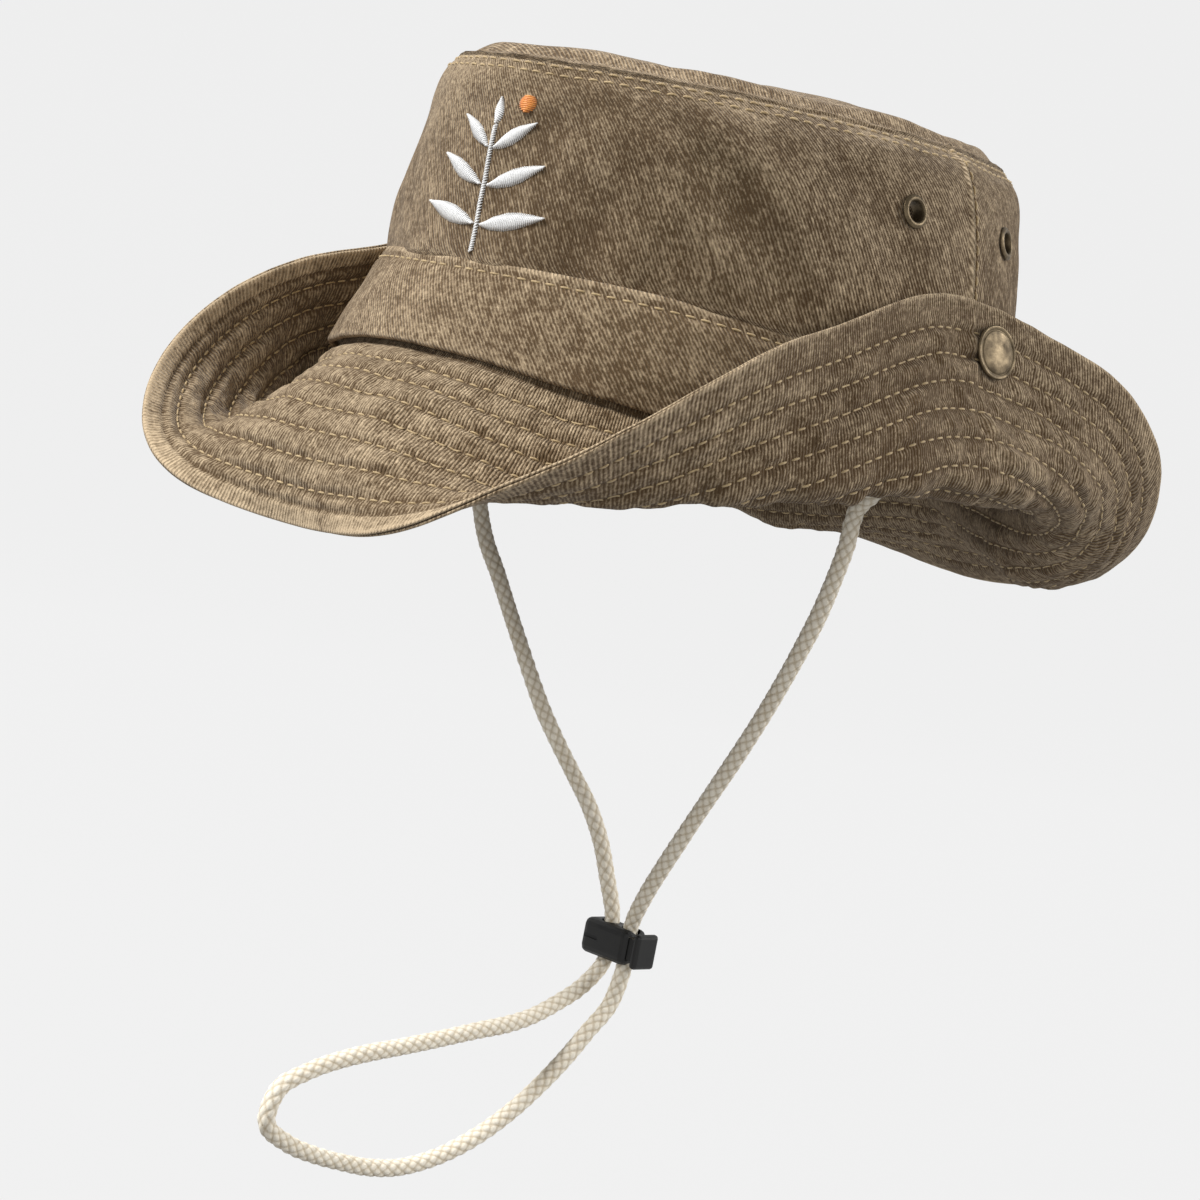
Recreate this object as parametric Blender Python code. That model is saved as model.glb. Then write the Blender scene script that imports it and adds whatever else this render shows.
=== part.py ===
"""Boonie hat with a stitched brim folded up at both sides, a chin cord and a cord lock.

Metres, +Z up. The front of the hat faces -Y and the wearer's left is +X. The origin is the
centre of the head opening, where the brim meets the crown.
"""

import functools
import math

import bmesh
import bpy
from mathutils import Vector

MM = 0.001
GAP = 0.3 * MM

# Crown: half width, half length and height of each level, from the band's top to the tip seam
OPENING_HALF_WIDTH = 0.0868
OPENING_HALF_LENGTH = 0.1018
SIDE_DROP = 0.0100
BAND_DIP = 0.0080
BAND_BOTTOM = 0.0019
BAND_TOP = 0.0240
CROWN_LEVELS = (
    (BAND_TOP + GAP, 0.0792, 0.0942),
    (0.0410, 0.0768, 0.0934),
    (0.0580, 0.0735, 0.0923),
    (0.0700, 0.0695, 0.0905),
    (0.0765, 0.0628, 0.0860),
)
CROWN_LEAN = 0.0020
TIP_RISE = 0.0030
SEAM_ANGLE = 98.5
WALL = 1.2 * MM
BAND = 2.0 * MM

# Brim: width, cloth layers, and its section at seven angles from the front to the back
BRIM_WIDTH = 0.0617
PLY = 0.7 * MM
LINING = 0.4 * MM
SLOPE_AT_ROOT = (25, 52, 49, 27, 43, 88, 70)
SLOPE_AT_EDGE = (-110, 16, 101, 113, 101, 25, -28)
FOLD_STARTS = (-0.003, 0.022, 0.010, -0.003, -0.001, 0.009, 0.006)
FOLD_LENGTH = (0.085, 0.027, 0.020, 0.026, 0.040, 0.048, 0.030)

BRIM_SEAM_ANGLE = 95.5

# Each snap draws the flap in and the crown out: the depth, and the reach either side in degrees,
# in metres along the flap and in levels of the crown
PULL_TURN = 32.0
FLAP_PULL = 0.0043
FLAP_PULL_PLACE = 0.0430
FLAP_PULL_REACH = 0.0280
CROWN_PULL = 0.0022
CROWN_PULL_LEVEL = 0.15
CROWN_PULL_REACH = 0.50

# Side flaps: their ends, where they start along the brim, and the slit round them
FLAP_FRONT = 0.056
FLAP_BACK = 0.056
FLAP_START = 0.155
FLAP_GAP = 0.0012
FLAP_ROOT_GAP = 0.0030

# Snap fasteners and eyelets
SNAP_ANGLE = 99.8
SNAP_ALONG_BRIM = 0.0495
CAP_RADIUS = 0.0072
EYELET_ANGLES = {"front": 84.0, "rear": 112.0}
EYELET_LEVELS = {"front": 0.52, "rear": 0.48}
EYELET_RADIUS = 0.0044

# Embroidery: its centre on the front of the crown, and the crown's height along its slope
MOTIF_CENTRE = Vector((0.004, 0.34))
CROWN_SLANT = 0.056

# Chin cord and its lock
CORD_RADIUS = 0.00235
CORD_SPACING = 0.0105
LOCK_CENTRE = Vector((0.0, 0.0143, -0.1557))
LOCK_HOLE_X = 0.0040


def clear_scene():
    for item in list(bpy.data.objects):
        bpy.data.objects.remove(item)


def material(name, colour, roughness, metallic=0.0):
    made = bpy.data.materials.new(name)
    made.use_nodes = True
    shader = made.node_tree.nodes["Principled BSDF"]
    shader.inputs["Base Color"].default_value = (*colour, 1.0)
    shader.inputs["Roughness"].default_value = roughness
    shader.inputs["Metallic"].default_value = metallic
    made.diffuse_color = (*colour, 1.0)
    return made


# ---------------------------------------------------------------- curves and helpers


def smooth(t):
    t = min(max(t, 0.0), 1.0)
    return t * t * (3 - 2 * t)


def spline(values, x, mirrored=False):
    """A smooth curve through evenly spaced values, read at x from 0 to 1."""
    last = len(values) - 1
    first = min(int(x * last), last - 1)
    t = x * last - first

    def value(k):
        if mirrored:
            return values[last - abs(last - abs(k))]
        return values[min(max(k, 0), last)]

    a, b, c, d = (value(first + k) for k in (-1, 0, 1, 2))
    cubic = (2 * a - 5 * b + 4 * c - d) * t * t + (3 * b - a - 3 * c + d) * t**3
    return 0.5 * (2 * b + (c - a) * t + cubic)


def steps(low, high, count):
    return [low + (high - low) * i / count for i in range(count + 1)]


def oval_direction(phi):
    """Outward direction of the head opening's oval at an angle from the front."""
    return Vector((math.sin(phi) / OPENING_HALF_WIDTH, -math.cos(phi) / OPENING_HALF_LENGTH, 0)).normalized()


def opening_at(phi):
    """A point of the head opening, where the brim starts."""
    drop = SIDE_DROP * math.sin(phi) ** 2
    return Vector((OPENING_HALF_WIDTH * math.sin(phi), -OPENING_HALF_LENGTH * math.cos(phi), -drop))


def drawn(phi, offset, reach):
    """How strongly the snaps draw the cloth, from 0 to 1, at an angle and an offset along the cloth."""
    turn = abs(math.degrees(math.atan2(math.sin(phi), math.cos(phi)))) - SNAP_ANGLE
    return smooth(1 - abs(turn) / PULL_TURN) * smooth(1 - abs(offset) / reach)


def band_dip(phi):
    """How far the band's top seam is lower at an angle than at the front."""
    return BAND_DIP * math.sin(phi) ** 6


def crown_at(phi, level):
    """A point of the crown wall's middle surface; level runs from 0 at the band to 1 at the tip."""
    height, width, length = (spline(column, level) for column in zip(*CROWN_LEVELS))
    height -= band_dip(phi) * (1 - level) ** 2
    swell = CROWN_PULL * drawn(phi, level - CROWN_PULL_LEVEL, CROWN_PULL_REACH)
    width += swell
    length += swell
    return Vector((width * math.sin(phi), -length * math.cos(phi) - CROWN_LEAN * level, height))


def normal_of(surface, u, v):
    """Unit normal of a surface, from small steps along it."""
    step = 1e-4
    along_u = surface(u + step, v) - surface(u - step, v)
    along_v = surface(u, min(v + step, 1.0)) - surface(u, max(v - step, 0.0))
    return along_u.cross(along_v).normalized()


def crown_point(phi, level, offset):
    return crown_at(phi, level) + offset * normal_of(crown_at, phi, level)


def band_at(phi, level):
    low = opening_at(phi) + Vector((0, 0, BAND_BOTTOM))
    high = crown_at(phi, 0.0)
    high.z = BAND_TOP - band_dip(phi)
    return low.lerp(high, level)


def band_point(phi, level, offset):
    return band_at(phi, level) + offset * normal_of(band_at, phi, level)


@functools.lru_cache(maxsize=None)
def brim_section(phi):
    """The brim's section at one angle: (outward, upward, slope) at even steps from its root."""
    turn = abs(math.atan2(math.sin(phi), math.cos(phi))) / math.pi
    columns = (SLOPE_AT_ROOT, SLOPE_AT_EDGE, FOLD_STARTS, FOLD_LENGTH)
    root, edge, start, length = (spline(column, turn, mirrored=True) for column in columns)
    count = 64
    step = BRIM_WIDTH / count
    out = up = 0.0
    section = []
    for i in range(count + 1):
        slope = math.radians(-root + (root + edge) * smooth((i * step - start) / length))
        section.append((out, up, slope))
        out += step * math.cos(slope)
        up += step * math.sin(slope)
    return section


def brim_point(phi, along, offset):
    """A point of the brim, along from 0 at the crown to 1 at the edge, raised off its middle."""
    section = brim_section(phi)
    place = along * (len(section) - 1)
    first = min(int(place), len(section) - 2)
    part = place - first
    out, up, slope = (a + (b - a) * part for a, b in zip(section[first], section[first + 1]))
    pull = FLAP_PULL * drawn(phi, along * BRIM_WIDTH - FLAP_PULL_PLACE, FLAP_PULL_REACH)
    across = out - pull - offset * math.sin(slope)
    return opening_at(phi) + oval_direction(phi) * across + Vector((0, 0, up + offset * math.cos(slope)))


# ---------------------------------------------------------------- solids


def add_object(name, bm, finish, smooth_angle=35):
    bmesh.ops.recalc_face_normals(bm, faces=bm.faces)
    if bm.calc_volume(signed=True) < 0:
        bmesh.ops.reverse_faces(bm, faces=bm.faces)
    mesh = bpy.data.meshes.new(name)
    bm.to_mesh(mesh)
    bm.free()
    mesh.shade_smooth()
    mesh.set_sharp_from_angle(angle=math.radians(smooth_angle))
    mesh.materials.append(finish)
    made = bpy.data.objects.new(name, mesh)
    bpy.context.scene.collection.objects.link(made)
    return made


def sheet(name, point, us, vs, inner, outer, finish, closed=False, keep=None):
    """A solid sheet between two offsets of point(u, v, offset).

    closed joins the last u to the first; keep(u, v) says whether the cell up to u and v is cloth.
    """
    bm = bmesh.new()
    count = len(us)
    layers = [[[bm.verts.new(point(u, v, o)) for v in vs] for u in us] for o in (inner, outer)]
    sides = {}
    for i in range(count if closed else count - 1):
        k = (i + 1) % count
        for j in range(len(vs) - 1):
            if keep and not keep((us[i] + us[k]) / 2, vs[j + 1]):
                continue
            ring = [(i, j), (k, j), (k, j + 1), (i, j + 1)]
            for layer in layers:
                a, b, c, d = (layer[m][n] for m, n in ring)
                bm.faces.new((a, b, c))
                bm.faces.new((a, c, d))
            for pair in zip(ring, ring[1:] + ring[:1]):
                sides.setdefault(frozenset(pair), []).append(pair)
    low, high = layers
    for pairs in sides.values():
        if len(pairs) == 1:
            (i, j), (k, m) = pairs[0]
            bm.faces.new((low[i][j], low[k][m], high[k][m], high[i][j]))
    for vert in [vert for vert in bm.verts if not vert.link_faces]:
        bm.verts.remove(vert)
    return add_object(name, bm, finish)


def turned(name, outline, centre, axis, finish, segments=20):
    """A solid turned round an axis; outline is a closed list of (radius, height)."""
    bm = bmesh.new()
    turn = Vector(axis).to_track_quat("Z", "Y")
    rings = []
    for radius, height in outline:
        if radius < 1e-7:
            rings.append([bm.verts.new(Vector(centre) + turn @ Vector((0, 0, height)))])
            continue
        ring = []
        for i in range(segments):
            angle = 2 * math.pi * i / segments
            spot = Vector((radius * math.cos(angle), radius * math.sin(angle), height))
            ring.append(bm.verts.new(Vector(centre) + turn @ spot))
        rings.append(ring)
    for a, b in zip(rings, rings[1:] + rings[:1]):
        if len(a) == 1 and len(b) == 1:
            continue
        for i in range(segments):
            k = (i + 1) % segments
            corners = [a[i % len(a)], a[k % len(a)], b[k % len(b)], b[i % len(b)]]
            bm.faces.new(list(dict.fromkeys(corners)))
    return add_object(name, bm, finish)


def rod(centre, axis, radius, length):
    """A plain cylinder to cut with."""
    half = length / 2
    outline = ((0, -half), (radius, -half), (radius, half), (0, half))
    return turned("cutter", outline, centre, axis, bpy.data.materials[0], 16)


def block(name, low, high, finish, bevel=0.0, segments=2):
    bm = bmesh.new()
    bmesh.ops.create_cube(bm, size=1.0)
    low, high = Vector(low), Vector(high)
    for vert in bm.verts:
        vert.co = Vector(a + (b - a) * (c + 0.5) for a, b, c in zip(low, high, vert.co))
    if bevel:
        bmesh.ops.bevel(bm, geom=bm.edges[:], offset=bevel, segments=segments, affect="EDGES", profile=0.5)
    return add_object(name, bm, finish)


def carve(target, cutters, operation="DIFFERENCE"):
    """Apply a Boolean with each cutter, and remove the cutters."""
    for cutter in cutters:
        modifier = target.modifiers.new("cut", "BOOLEAN")
        modifier.operation = operation
        modifier.object = cutter
        modifier.solver = "EXACT"
        bpy.context.view_layer.update()
        shaped = target.evaluated_get(bpy.context.evaluated_depsgraph_get())
        mesh = bpy.data.meshes.new_from_object(shaped)
        target.modifiers.clear()
        target.data = mesh
        bpy.data.objects.remove(cutter)
    return target


def mirrored(source, name):
    """The same piece on the wearer's right."""
    bm = bmesh.new()
    bm.from_mesh(source.data)
    for vert in bm.verts:
        vert.co.x = -vert.co.x
    bmesh.ops.reverse_faces(bm, faces=bm.faces)
    return add_object(name, bm, source.data.materials[0])


def tube(name, points, radius, finish, sides=2):
    """A tube through its points, with flat filled ends."""
    curve = bpy.data.curves.new(name, "CURVE")
    curve.dimensions = "3D"
    curve.bevel_depth = radius
    curve.bevel_resolution = sides
    curve.use_fill_caps = True
    curve.materials.append(finish)
    line = curve.splines.new("POLY")
    line.points.add(len(points) - 1)
    for target, point in zip(line.points, points):
        target.co = (*point, 1.0)
    made = bpy.data.objects.new(name, curve)
    bpy.context.scene.collection.objects.link(made)
    return made


# ---------------------------------------------------------------- crown


def ring_angles(low, high, count):
    return steps(math.radians(low), math.radians(high), count)


def build_crown(cloth, inner_cloth):
    """Wall panels, tip, band halves, sweatband and inside tapes; returns the panels to be cut."""
    half = WALL / 2
    slit = math.degrees(GAP / 2 / OPENING_HALF_WIDTH)
    front = ring_angles(-SEAM_ANGLE + slit, SEAM_ANGLE - slit, 30)
    back = ring_angles(SEAM_ANGLE + slit, 360 - SEAM_ANGLE - slit, 26)
    levels = (0.0, 0.08, 0.17, 0.28, 0.42, 0.6, 0.78, 0.9, 1.0)
    walls = {
        "crown_front": sheet("crown_front", crown_point, front, levels, -half, half, cloth),
        "crown_back": sheet("crown_back", crown_point, back, levels, -half, half, cloth),
    }
    for name, angles in (("band_front", front), ("band_back", back)):
        walls[name] = sheet(name, band_point, angles, (0.0, 0.5, 1.0), -BAND / 2, BAND / 2, cloth)

    around = ring_angles(0, 360, 40)[:-1]
    levels = (0.0, 0.45, 0.9)
    sheet("sweatband", band_point, around, levels, -2.9 * MM, -2.2 * MM, inner_cloth, closed=True)
    sheet("tip_seam_tape", crown_point, around, (0.84, 0.93), -1.6 * MM, -1.0 * MM, inner_cloth, closed=True)
    width = 4.5
    angles = ring_angles(SEAM_ANGLE - width, SEAM_ANGLE + width, 2)
    levels = (0.36, 0.5, 0.65, 0.8)
    tape = sheet("side_seam_tape_left", crown_point, angles, levels, -1.6 * MM, -1.0 * MM, inner_cloth)
    mirrored(tape, "side_seam_tape_right")
    build_tip(cloth)
    return walls


def build_tip(cloth):
    """The oval tip panel, slightly domed."""
    height, width, length = CROWN_LEVELS[-1]
    inset = 0.8 * MM

    def tip_point(phi, ratio, offset):
        x = (width - inset) * ratio * math.sin(phi)
        y = -(length - inset) * ratio * math.cos(phi) - CROWN_LEAN
        return Vector((x, y, height + offset + TIP_RISE * (1 - ratio * ratio)))

    bm = bmesh.new()
    ratios = (0.35, 0.7, 1.0)
    around = ring_angles(0, 360, 36)[:-1]
    count = len(around)
    rings = []
    for offset in (-WALL / 2, WALL / 2):
        centre = bm.verts.new(tip_point(0, 0, offset))
        rows = [[bm.verts.new(tip_point(phi, ratio, offset)) for phi in around] for ratio in ratios]
        for i in range(count):
            k = (i + 1) % count
            bm.faces.new((centre, rows[0][i], rows[0][k]))
            for a, b in zip(rows, rows[1:]):
                bm.faces.new((a[i], b[i], b[k], a[k]))
        rings.append(rows[-1])
    for i in range(count):
        k = (i + 1) % count
        bm.faces.new((rings[0][i], rings[0][k], rings[1][k], rings[1][i]))
    add_object("crown_top", bm, cloth)


def build_eyelets(walls, brass):
    """Four brass eyelets beside the side seams, each set on a washer inside the crown."""
    outer = EYELET_RADIUS
    barrel = (
        (2.8 * MM, -2.4 * MM),
        (3.9 * MM, -2.4 * MM),
        (3.9 * MM, -2.1 * MM),
        (3.3 * MM, -2.0 * MM),
        (3.3 * MM, 0.95 * MM),
        (outer, 0.95 * MM),
        (outer - 0.3 * MM, 1.5 * MM),
        (3.2 * MM, 1.6 * MM),
        (2.8 * MM, 1.2 * MM),
    )
    washer = (
        (3.6 * MM, -1.75 * MM),
        (4.9 * MM, -1.75 * MM),
        (4.9 * MM, -1.35 * MM),
        (3.6 * MM, -1.35 * MM),
    )
    for side, sign in (("left", 1), ("right", -1)):
        for end, wall in (("front", "crown_front"), ("rear", "crown_back")):
            phi = sign * math.radians(EYELET_ANGLES[end])
            level = EYELET_LEVELS[end]
            centre = crown_at(phi, level)
            axis = normal_of(crown_at, phi, level)
            carve(walls[wall], [rod(centre, axis, 3.7 * MM, 8 * MM)])
            turned(f"eyelet_{side}_{end}", barrel, centre, axis, brass, 16)
            turned(f"eyelet_washer_{side}_{end}", washer, centre, axis, brass, 16)


# ---------------------------------------------------------------- brim


def layer_offsets():
    """Lower and upper offset of the upper ply, the interlining and the under ply."""
    inner = LINING / 2 + GAP
    return {
        "upper": (inner, inner + PLY),
        "interlining": (-LINING / 2, LINING / 2),
        "under": (-inner - PLY, -inner),
    }


@functools.lru_cache(maxsize=None)
def cut_angle(y, along, offset):
    """The angle at which a layer of the brim crosses the plane at y, at a distance along it."""
    low, high = 0.0, math.pi
    for _ in range(30):
        middle = (low + high) / 2
        low, high = (middle, high) if brim_point(middle, along, offset).y < y else (low, middle)
    return (low + high) / 2


def half_point(centre, seam, y):
    """Half a brim: u is -2 and 2 at the side seams, and -1 and 1 at the planes that end the flaps."""

    def point(u, along, offset):
        cut = abs(cut_angle(y, max(along, FLAP_START), offset) - centre)
        size = abs(u)
        turn = cut * size if size <= 1 else cut + (size - 1) * (abs(seam - centre) - cut)
        return brim_point(centre + math.copysign(turn, u), along, offset)

    return point


def flap_point(u, along, offset):
    """The left flap: u is 0 at its front end and 1 at its back end."""
    front = cut_angle(-FLAP_FRONT + FLAP_GAP / 2, along, offset)
    back = cut_angle(FLAP_BACK - FLAP_GAP / 2, along, offset)
    return brim_point(front + u * (back - front), along, offset)


def build_brim(finishes):
    """Front and back halves and the two side flaps, each of three layers."""
    slit = GAP / 2 / OPENING_HALF_WIDTH
    seam = math.radians(BRIM_SEAM_ANGLE)
    start = FLAP_START - FLAP_GAP / 2 / BRIM_WIDTH
    along = (0.0, start / 2, start, 0.25, 0.35, 0.46, 0.60, 0.80, 1.0)
    across = steps(-2.0, -1.0, 7) + steps(-1.0, 1.0, 20)[1:] + steps(1.0, 2.0, 7)[1:]
    flap_along = (start + FLAP_ROOT_GAP / BRIM_WIDTH, 0.24, 0.30, 0.38, 0.50, 0.66, 0.82, 1.0)
    halves = {
        "front": half_point(0.0, seam - slit, -FLAP_FRONT - FLAP_GAP / 2),
        "back": half_point(math.pi, seam + slit, FLAP_BACK + FLAP_GAP / 2),
    }

    def cloth_left(u, reach):
        return reach <= start or abs(u) < 1

    hole_centre, hole_axis = snap_place()
    for layer, (low, high) in layer_offsets().items():
        finish = finishes[layer]
        for half, point in halves.items():
            sheet(f"brim_{layer}_{half}", point, across, along, low, high, finish, keep=cloth_left)
        left = sheet(f"flap_{layer}_left", flap_point, steps(0.0, 1.0, 15), flap_along, low, high, finish)
        carve(left, [rod(hole_centre, hole_axis, 2.4 * MM, 8 * MM)])
        mirrored(left, f"flap_{layer}_right")


# ---------------------------------------------------------------- snap fasteners


def snap_place():
    """Centre of the left snap on the flap's middle surface, and its outward axis."""
    phi = math.radians(SNAP_ANGLE)
    along = SNAP_ALONG_BRIM / BRIM_WIDTH
    centre = brim_point(phi, along, 0)

    def surface(angle, reach):
        return brim_point(angle, reach, 0)

    normal = normal_of(surface, phi, along)
    return centre, normal if normal.x > 0 else -normal


def wall_behind(centre, axis):
    """The crown wall's middle surface behind the snap, along its axis: the point and its normal."""
    far, near = 0.03, 0.0
    for _ in range(40):
        middle = (far + near) / 2
        spot = centre - axis * middle
        phi = math.atan2(spot.x / CROWN_LEVELS[0][1], -spot.y / CROWN_LEVELS[0][2])
        level = level_at(phi, spot.z)
        wall = crown_at(phi, level)
        outside = math.hypot(spot.x, spot.y) > math.hypot(wall.x, wall.y)
        near, far = (middle, far) if outside else (near, middle)
    return wall, normal_of(crown_at, phi, level)


def level_at(phi, height):
    """The crown level at a height."""
    low, high = 0.0, 1.0
    for _ in range(40):
        middle = (low + high) / 2
        low, high = (middle, high) if crown_at(phi, middle).z < height else (low, middle)
    return (low + high) / 2


def build_snaps(walls, metal):
    """On each side a cap and a socket on the flap, and a stud and a post on the crown."""
    centre, axis = snap_place()
    wall, normal = wall_behind(centre, axis)
    wall, normal = wall_behind(centre, (axis + normal).normalized())
    reach = (centre - wall).length - 2.4 * MM
    cap = (
        (0, 4.0 * MM),
        (3.5 * MM, 3.8 * MM),
        (6.2 * MM, 3.3 * MM),
        (CAP_RADIUS, 2.7 * MM),
        (CAP_RADIUS, 2.3 * MM),
        (1.9 * MM, 2.3 * MM),
        (1.9 * MM, -1.3 * MM),
        (0, -1.3 * MM),
    )
    socket = (
        (2.6 * MM, -1.5 * MM),
        (5.6 * MM, -1.5 * MM),
        (5.6 * MM, -2.0 * MM),
        (4.2 * MM, -2.9 * MM),
        (2.6 * MM, -2.9 * MM),
    )
    stud = (
        (0, 1.2 * MM),
        (3.6 * MM, 1.2 * MM),
        (3.6 * MM, 1.6 * MM),
        (1.7 * MM, 1.8 * MM),
        (1.7 * MM, reach),
        (0, reach),
    )
    post = (
        (0, 1.0 * MM),
        (1.5 * MM, 1.0 * MM),
        (1.5 * MM, -1.1 * MM),
        (4.4 * MM, -1.1 * MM),
        (4.4 * MM, -1.6 * MM),
        (0, -1.7 * MM),
    )
    for name, outline, spot, direction in (
        ("snap_cap", cap, centre, axis),
        ("snap_socket", socket, centre, axis),
        ("snap_stud", stud, wall, normal),
        ("snap_post", post, wall, normal),
    ):
        left = turned(f"{name}_left", outline, spot, direction, metal, 20)
        mirrored(left, f"{name}_right")
    for sign in (1, -1):
        spot = Vector((sign * wall.x, wall.y, wall.z))
        direction = Vector((sign * normal.x, normal.y, normal.z))
        carve(walls["crown_back"], [rod(spot, direction, 1.9 * MM, 8 * MM)])


# ---------------------------------------------------------------- embroidery and label


def leaf(base, tip, width):
    """A pointed leaf as pairs of points across it, from its base to its tip."""
    along = tip - base
    across = Vector((-along.y, along.x)).normalized() * width
    shape = ((0.04, 0.20), (0.20, 0.72), (0.42, 1.0), (0.62, 0.88), (0.82, 0.50), (1.0, 0.10))
    return [(base + along * t - across * w, base + along * t + across * w) for t, w in shape]


def sprig_parts():
    """A stem, three pairs of leaves and one at its tip, by name, in 2D about the motif's centre."""
    stem = 0.6 * MM
    width = 1.7 * MM
    foot, neck, top = -0.0165, 0.0092, 0.0165
    pairs = {
        "low": (-0.0110, 0.0185, 0.0030),
        "middle": (-0.0035, 0.0165, 0.0055),
        "high": (0.0040, 0.0120, 0.0070),
    }
    heights = steps(foot, neck - GAP, 6)
    parts = {
        "stem": [(Vector((-stem, height)), Vector((stem, height))) for height in heights],
        "leaf_tip": leaf(Vector((0, neck)), Vector((0, top)), width),
    }
    for place, (height, reach, rise) in pairs.items():
        for side, sign in (("left", 1), ("right", -1)):
            base = Vector((sign * (stem + GAP), height))
            parts[f"leaf_{place}_{side}"] = leaf(base, Vector((sign * reach, height + rise)), width)
    return parts


def on_crown_front(spot, offset):
    """A point of the motif laid on the front of the crown; spot is (to the left, up)."""
    phi = (spot.x + MOTIF_CENTRE.x) / CROWN_LEVELS[1][1]
    return crown_point(phi, MOTIF_CENTRE.y + spot.y / CROWN_SLANT, offset)


def lay_threads(name, pairs, finish):
    """A strip of thread laid on the crown, from pairs of 2D points across it."""
    bm = bmesh.new()
    low, high = 0.95 * MM, 1.6 * MM
    rows = []
    for left, right in pairs:
        places = ((left, low), (right, low), (right, high), (left, high))
        rows.append([bm.verts.new(on_crown_front(spot, offset)) for spot, offset in places])
    quads = [rows[0], rows[-1]]
    for a, b in zip(rows, rows[1:]):
        quads += [[a[i], a[i - 1], b[i - 1], b[i]] for i in range(4)]
    for a, b, c, d in quads:
        bm.faces.new((a, b, c))
        bm.faces.new((a, c, d))
    return add_object(name, bm, finish)


def build_embroidery(white, orange):
    for name, pairs in sprig_parts().items():
        lay_threads(f"embroidery_{name}", pairs, white)
    centre = Vector((0.0085, 0.0160))
    radius = 2.6 * MM
    berry = []
    for angle in ring_angles(12, 168, 6):
        across = Vector((radius * math.sin(angle), 0))
        middle = centre + Vector((0, -radius * math.cos(angle)))
        berry.append((middle - across, middle + across))
    lay_threads("embroidery_berry", berry, orange)


def build_label(finish):
    """A blank care label inside the back of the crown."""
    y = CROWN_LEVELS[1][2] - 5 * MM
    block("care_label", (-0.014, y - 0.5 * MM, 0.0285), (0.014, y, 0.050), finish)


# ---------------------------------------------------------------- chin cord and lock


def route(points, spacing):
    """Points every spacing along a smooth curve through the given ones."""
    fine = []
    last = len(points) - 1
    for i in range(last * 24 + 1):
        x = i / (last * 24)
        fine.append(Vector(spline([p[axis] for p in points], x) for axis in range(3)))
    lengths = [0.0]
    for a, b in zip(fine, fine[1:]):
        lengths.append(lengths[-1] + (b - a).length)
    count = round(lengths[-1] / spacing)
    line = []
    k = 0
    for i in range(count + 1):
        target = lengths[-1] * i / count
        while k < len(lengths) - 2 and lengths[k + 1] < target:
            k += 1
        part = (target - lengths[k]) / max(lengths[k + 1] - lengths[k], 1e-9)
        line.append(fine[k].lerp(fine[k + 1], part))
    return line


def cord_runs():
    """The cord's three runs: the wearer's left, the right, and the loop below the lock."""
    x, y, z = LOCK_CENTRE
    hole = LOCK_HOLE_X
    stub = 0.0070
    tab = Vector((0.0775, -0.0080, -0.0065))
    top = [(tab.x, tab.y, tab.z - stub)]
    bottom = [(hole, y, z + stub)]
    left = top + [
        (0.0712, -0.0061, -0.0180),
        (0.0682, -0.0043, -0.0300),
        (0.0622, -0.0016, -0.0470),
        (0.0556, 0.0005, -0.0610),
        (0.0464, 0.0032, -0.0780),
        (0.0368, 0.0056, -0.0940),
        (0.0246, 0.0086, -0.1130),
        (0.0165, 0.0106, -0.1260),
        (0.0092, 0.0125, -0.1380),
    ] + bottom
    right = top + [
        (0.0740, -0.0050, -0.0220),
        (0.0700, -0.0016, -0.0470),
        (0.0605, 0.0008, -0.0630),
        (0.0494, 0.0035, -0.0805),
        (0.0383, 0.0061, -0.0970),
        (0.0275, 0.0080, -0.1090),
        (0.0172, 0.0096, -0.1195),
        (0.0106, 0.0112, -0.1297),
        (0.0066, 0.0129, -0.1405),
    ] + bottom
    right = [(-px, py, pz) for px, py, pz in right]
    loop = [
        (-hole, y, z - stub),
        (-hole, y - 0.0012, z - 0.0105),
        (-0.0040, 0.0060, -0.1702),
        (-0.0030, -0.0047, -0.1747),
        (-0.0020, -0.0175, -0.1783),
        (-0.0010, -0.0350, -0.1802),
        (0.0000, -0.0575, -0.1827),
        (0.0010, -0.0794, -0.1847),
        (0.0015, -0.0945, -0.1877),
        (0.0015, -0.1035, -0.1914),
        (0.0015, -0.1076, -0.1965),
        (0.0015, -0.1060, -0.2020),
        (0.0015, -0.0965, -0.2080),
        (0.0015, -0.0834, -0.2122),
        (0.0015, -0.0670, -0.2158),
        (0.0020, -0.0535, -0.2160),
        (0.0025, -0.0396, -0.2127),
        (0.0030, -0.0270, -0.2070),
        (0.0035, -0.0165, -0.2000),
        (0.0040, -0.0055, -0.1905),
        (0.0045, 0.0030, -0.1810),
        (hole, 0.0110, -0.1735),
        (hole, y - 0.0010, z - 0.0110),
        (hole, y, z - stub),
    ]
    starts = [tab, Vector((-tab.x, tab.y, tab.z))]
    meets = [Vector((hole, y, z + GAP / 2)), Vector((-hole, y, z + GAP / 2))]
    drop = Vector((0, 0, -GAP))
    return {
        "chin_cord_left": [starts[0]] + route(left, CORD_SPACING) + [meets[0]],
        "chin_cord_right": [starts[1]] + route(right, CORD_SPACING) + [meets[1]],
        "chin_cord_loop": [meets[1] + drop] + route(loop, CORD_SPACING) + [meets[0] + drop],
    }


def build_cord(cotton, tab_cloth):
    runs = cord_runs()
    for name, points in runs.items():
        tube(name, points, CORD_RADIUS, cotton)
    start = runs["chin_cord_left"][0]
    tab = block(
        "cord_tab_left",
        (start[0] - 3.2 * MM, start[1] - 5 * MM, start[2] + GAP),
        (start[0] + 1.0 * MM, start[1] + 5 * MM, start[2] + 11 * MM),
        tab_cloth,
        0.6 * MM,
        1,
    )
    mirrored(tab, "cord_tab_right")


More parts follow.
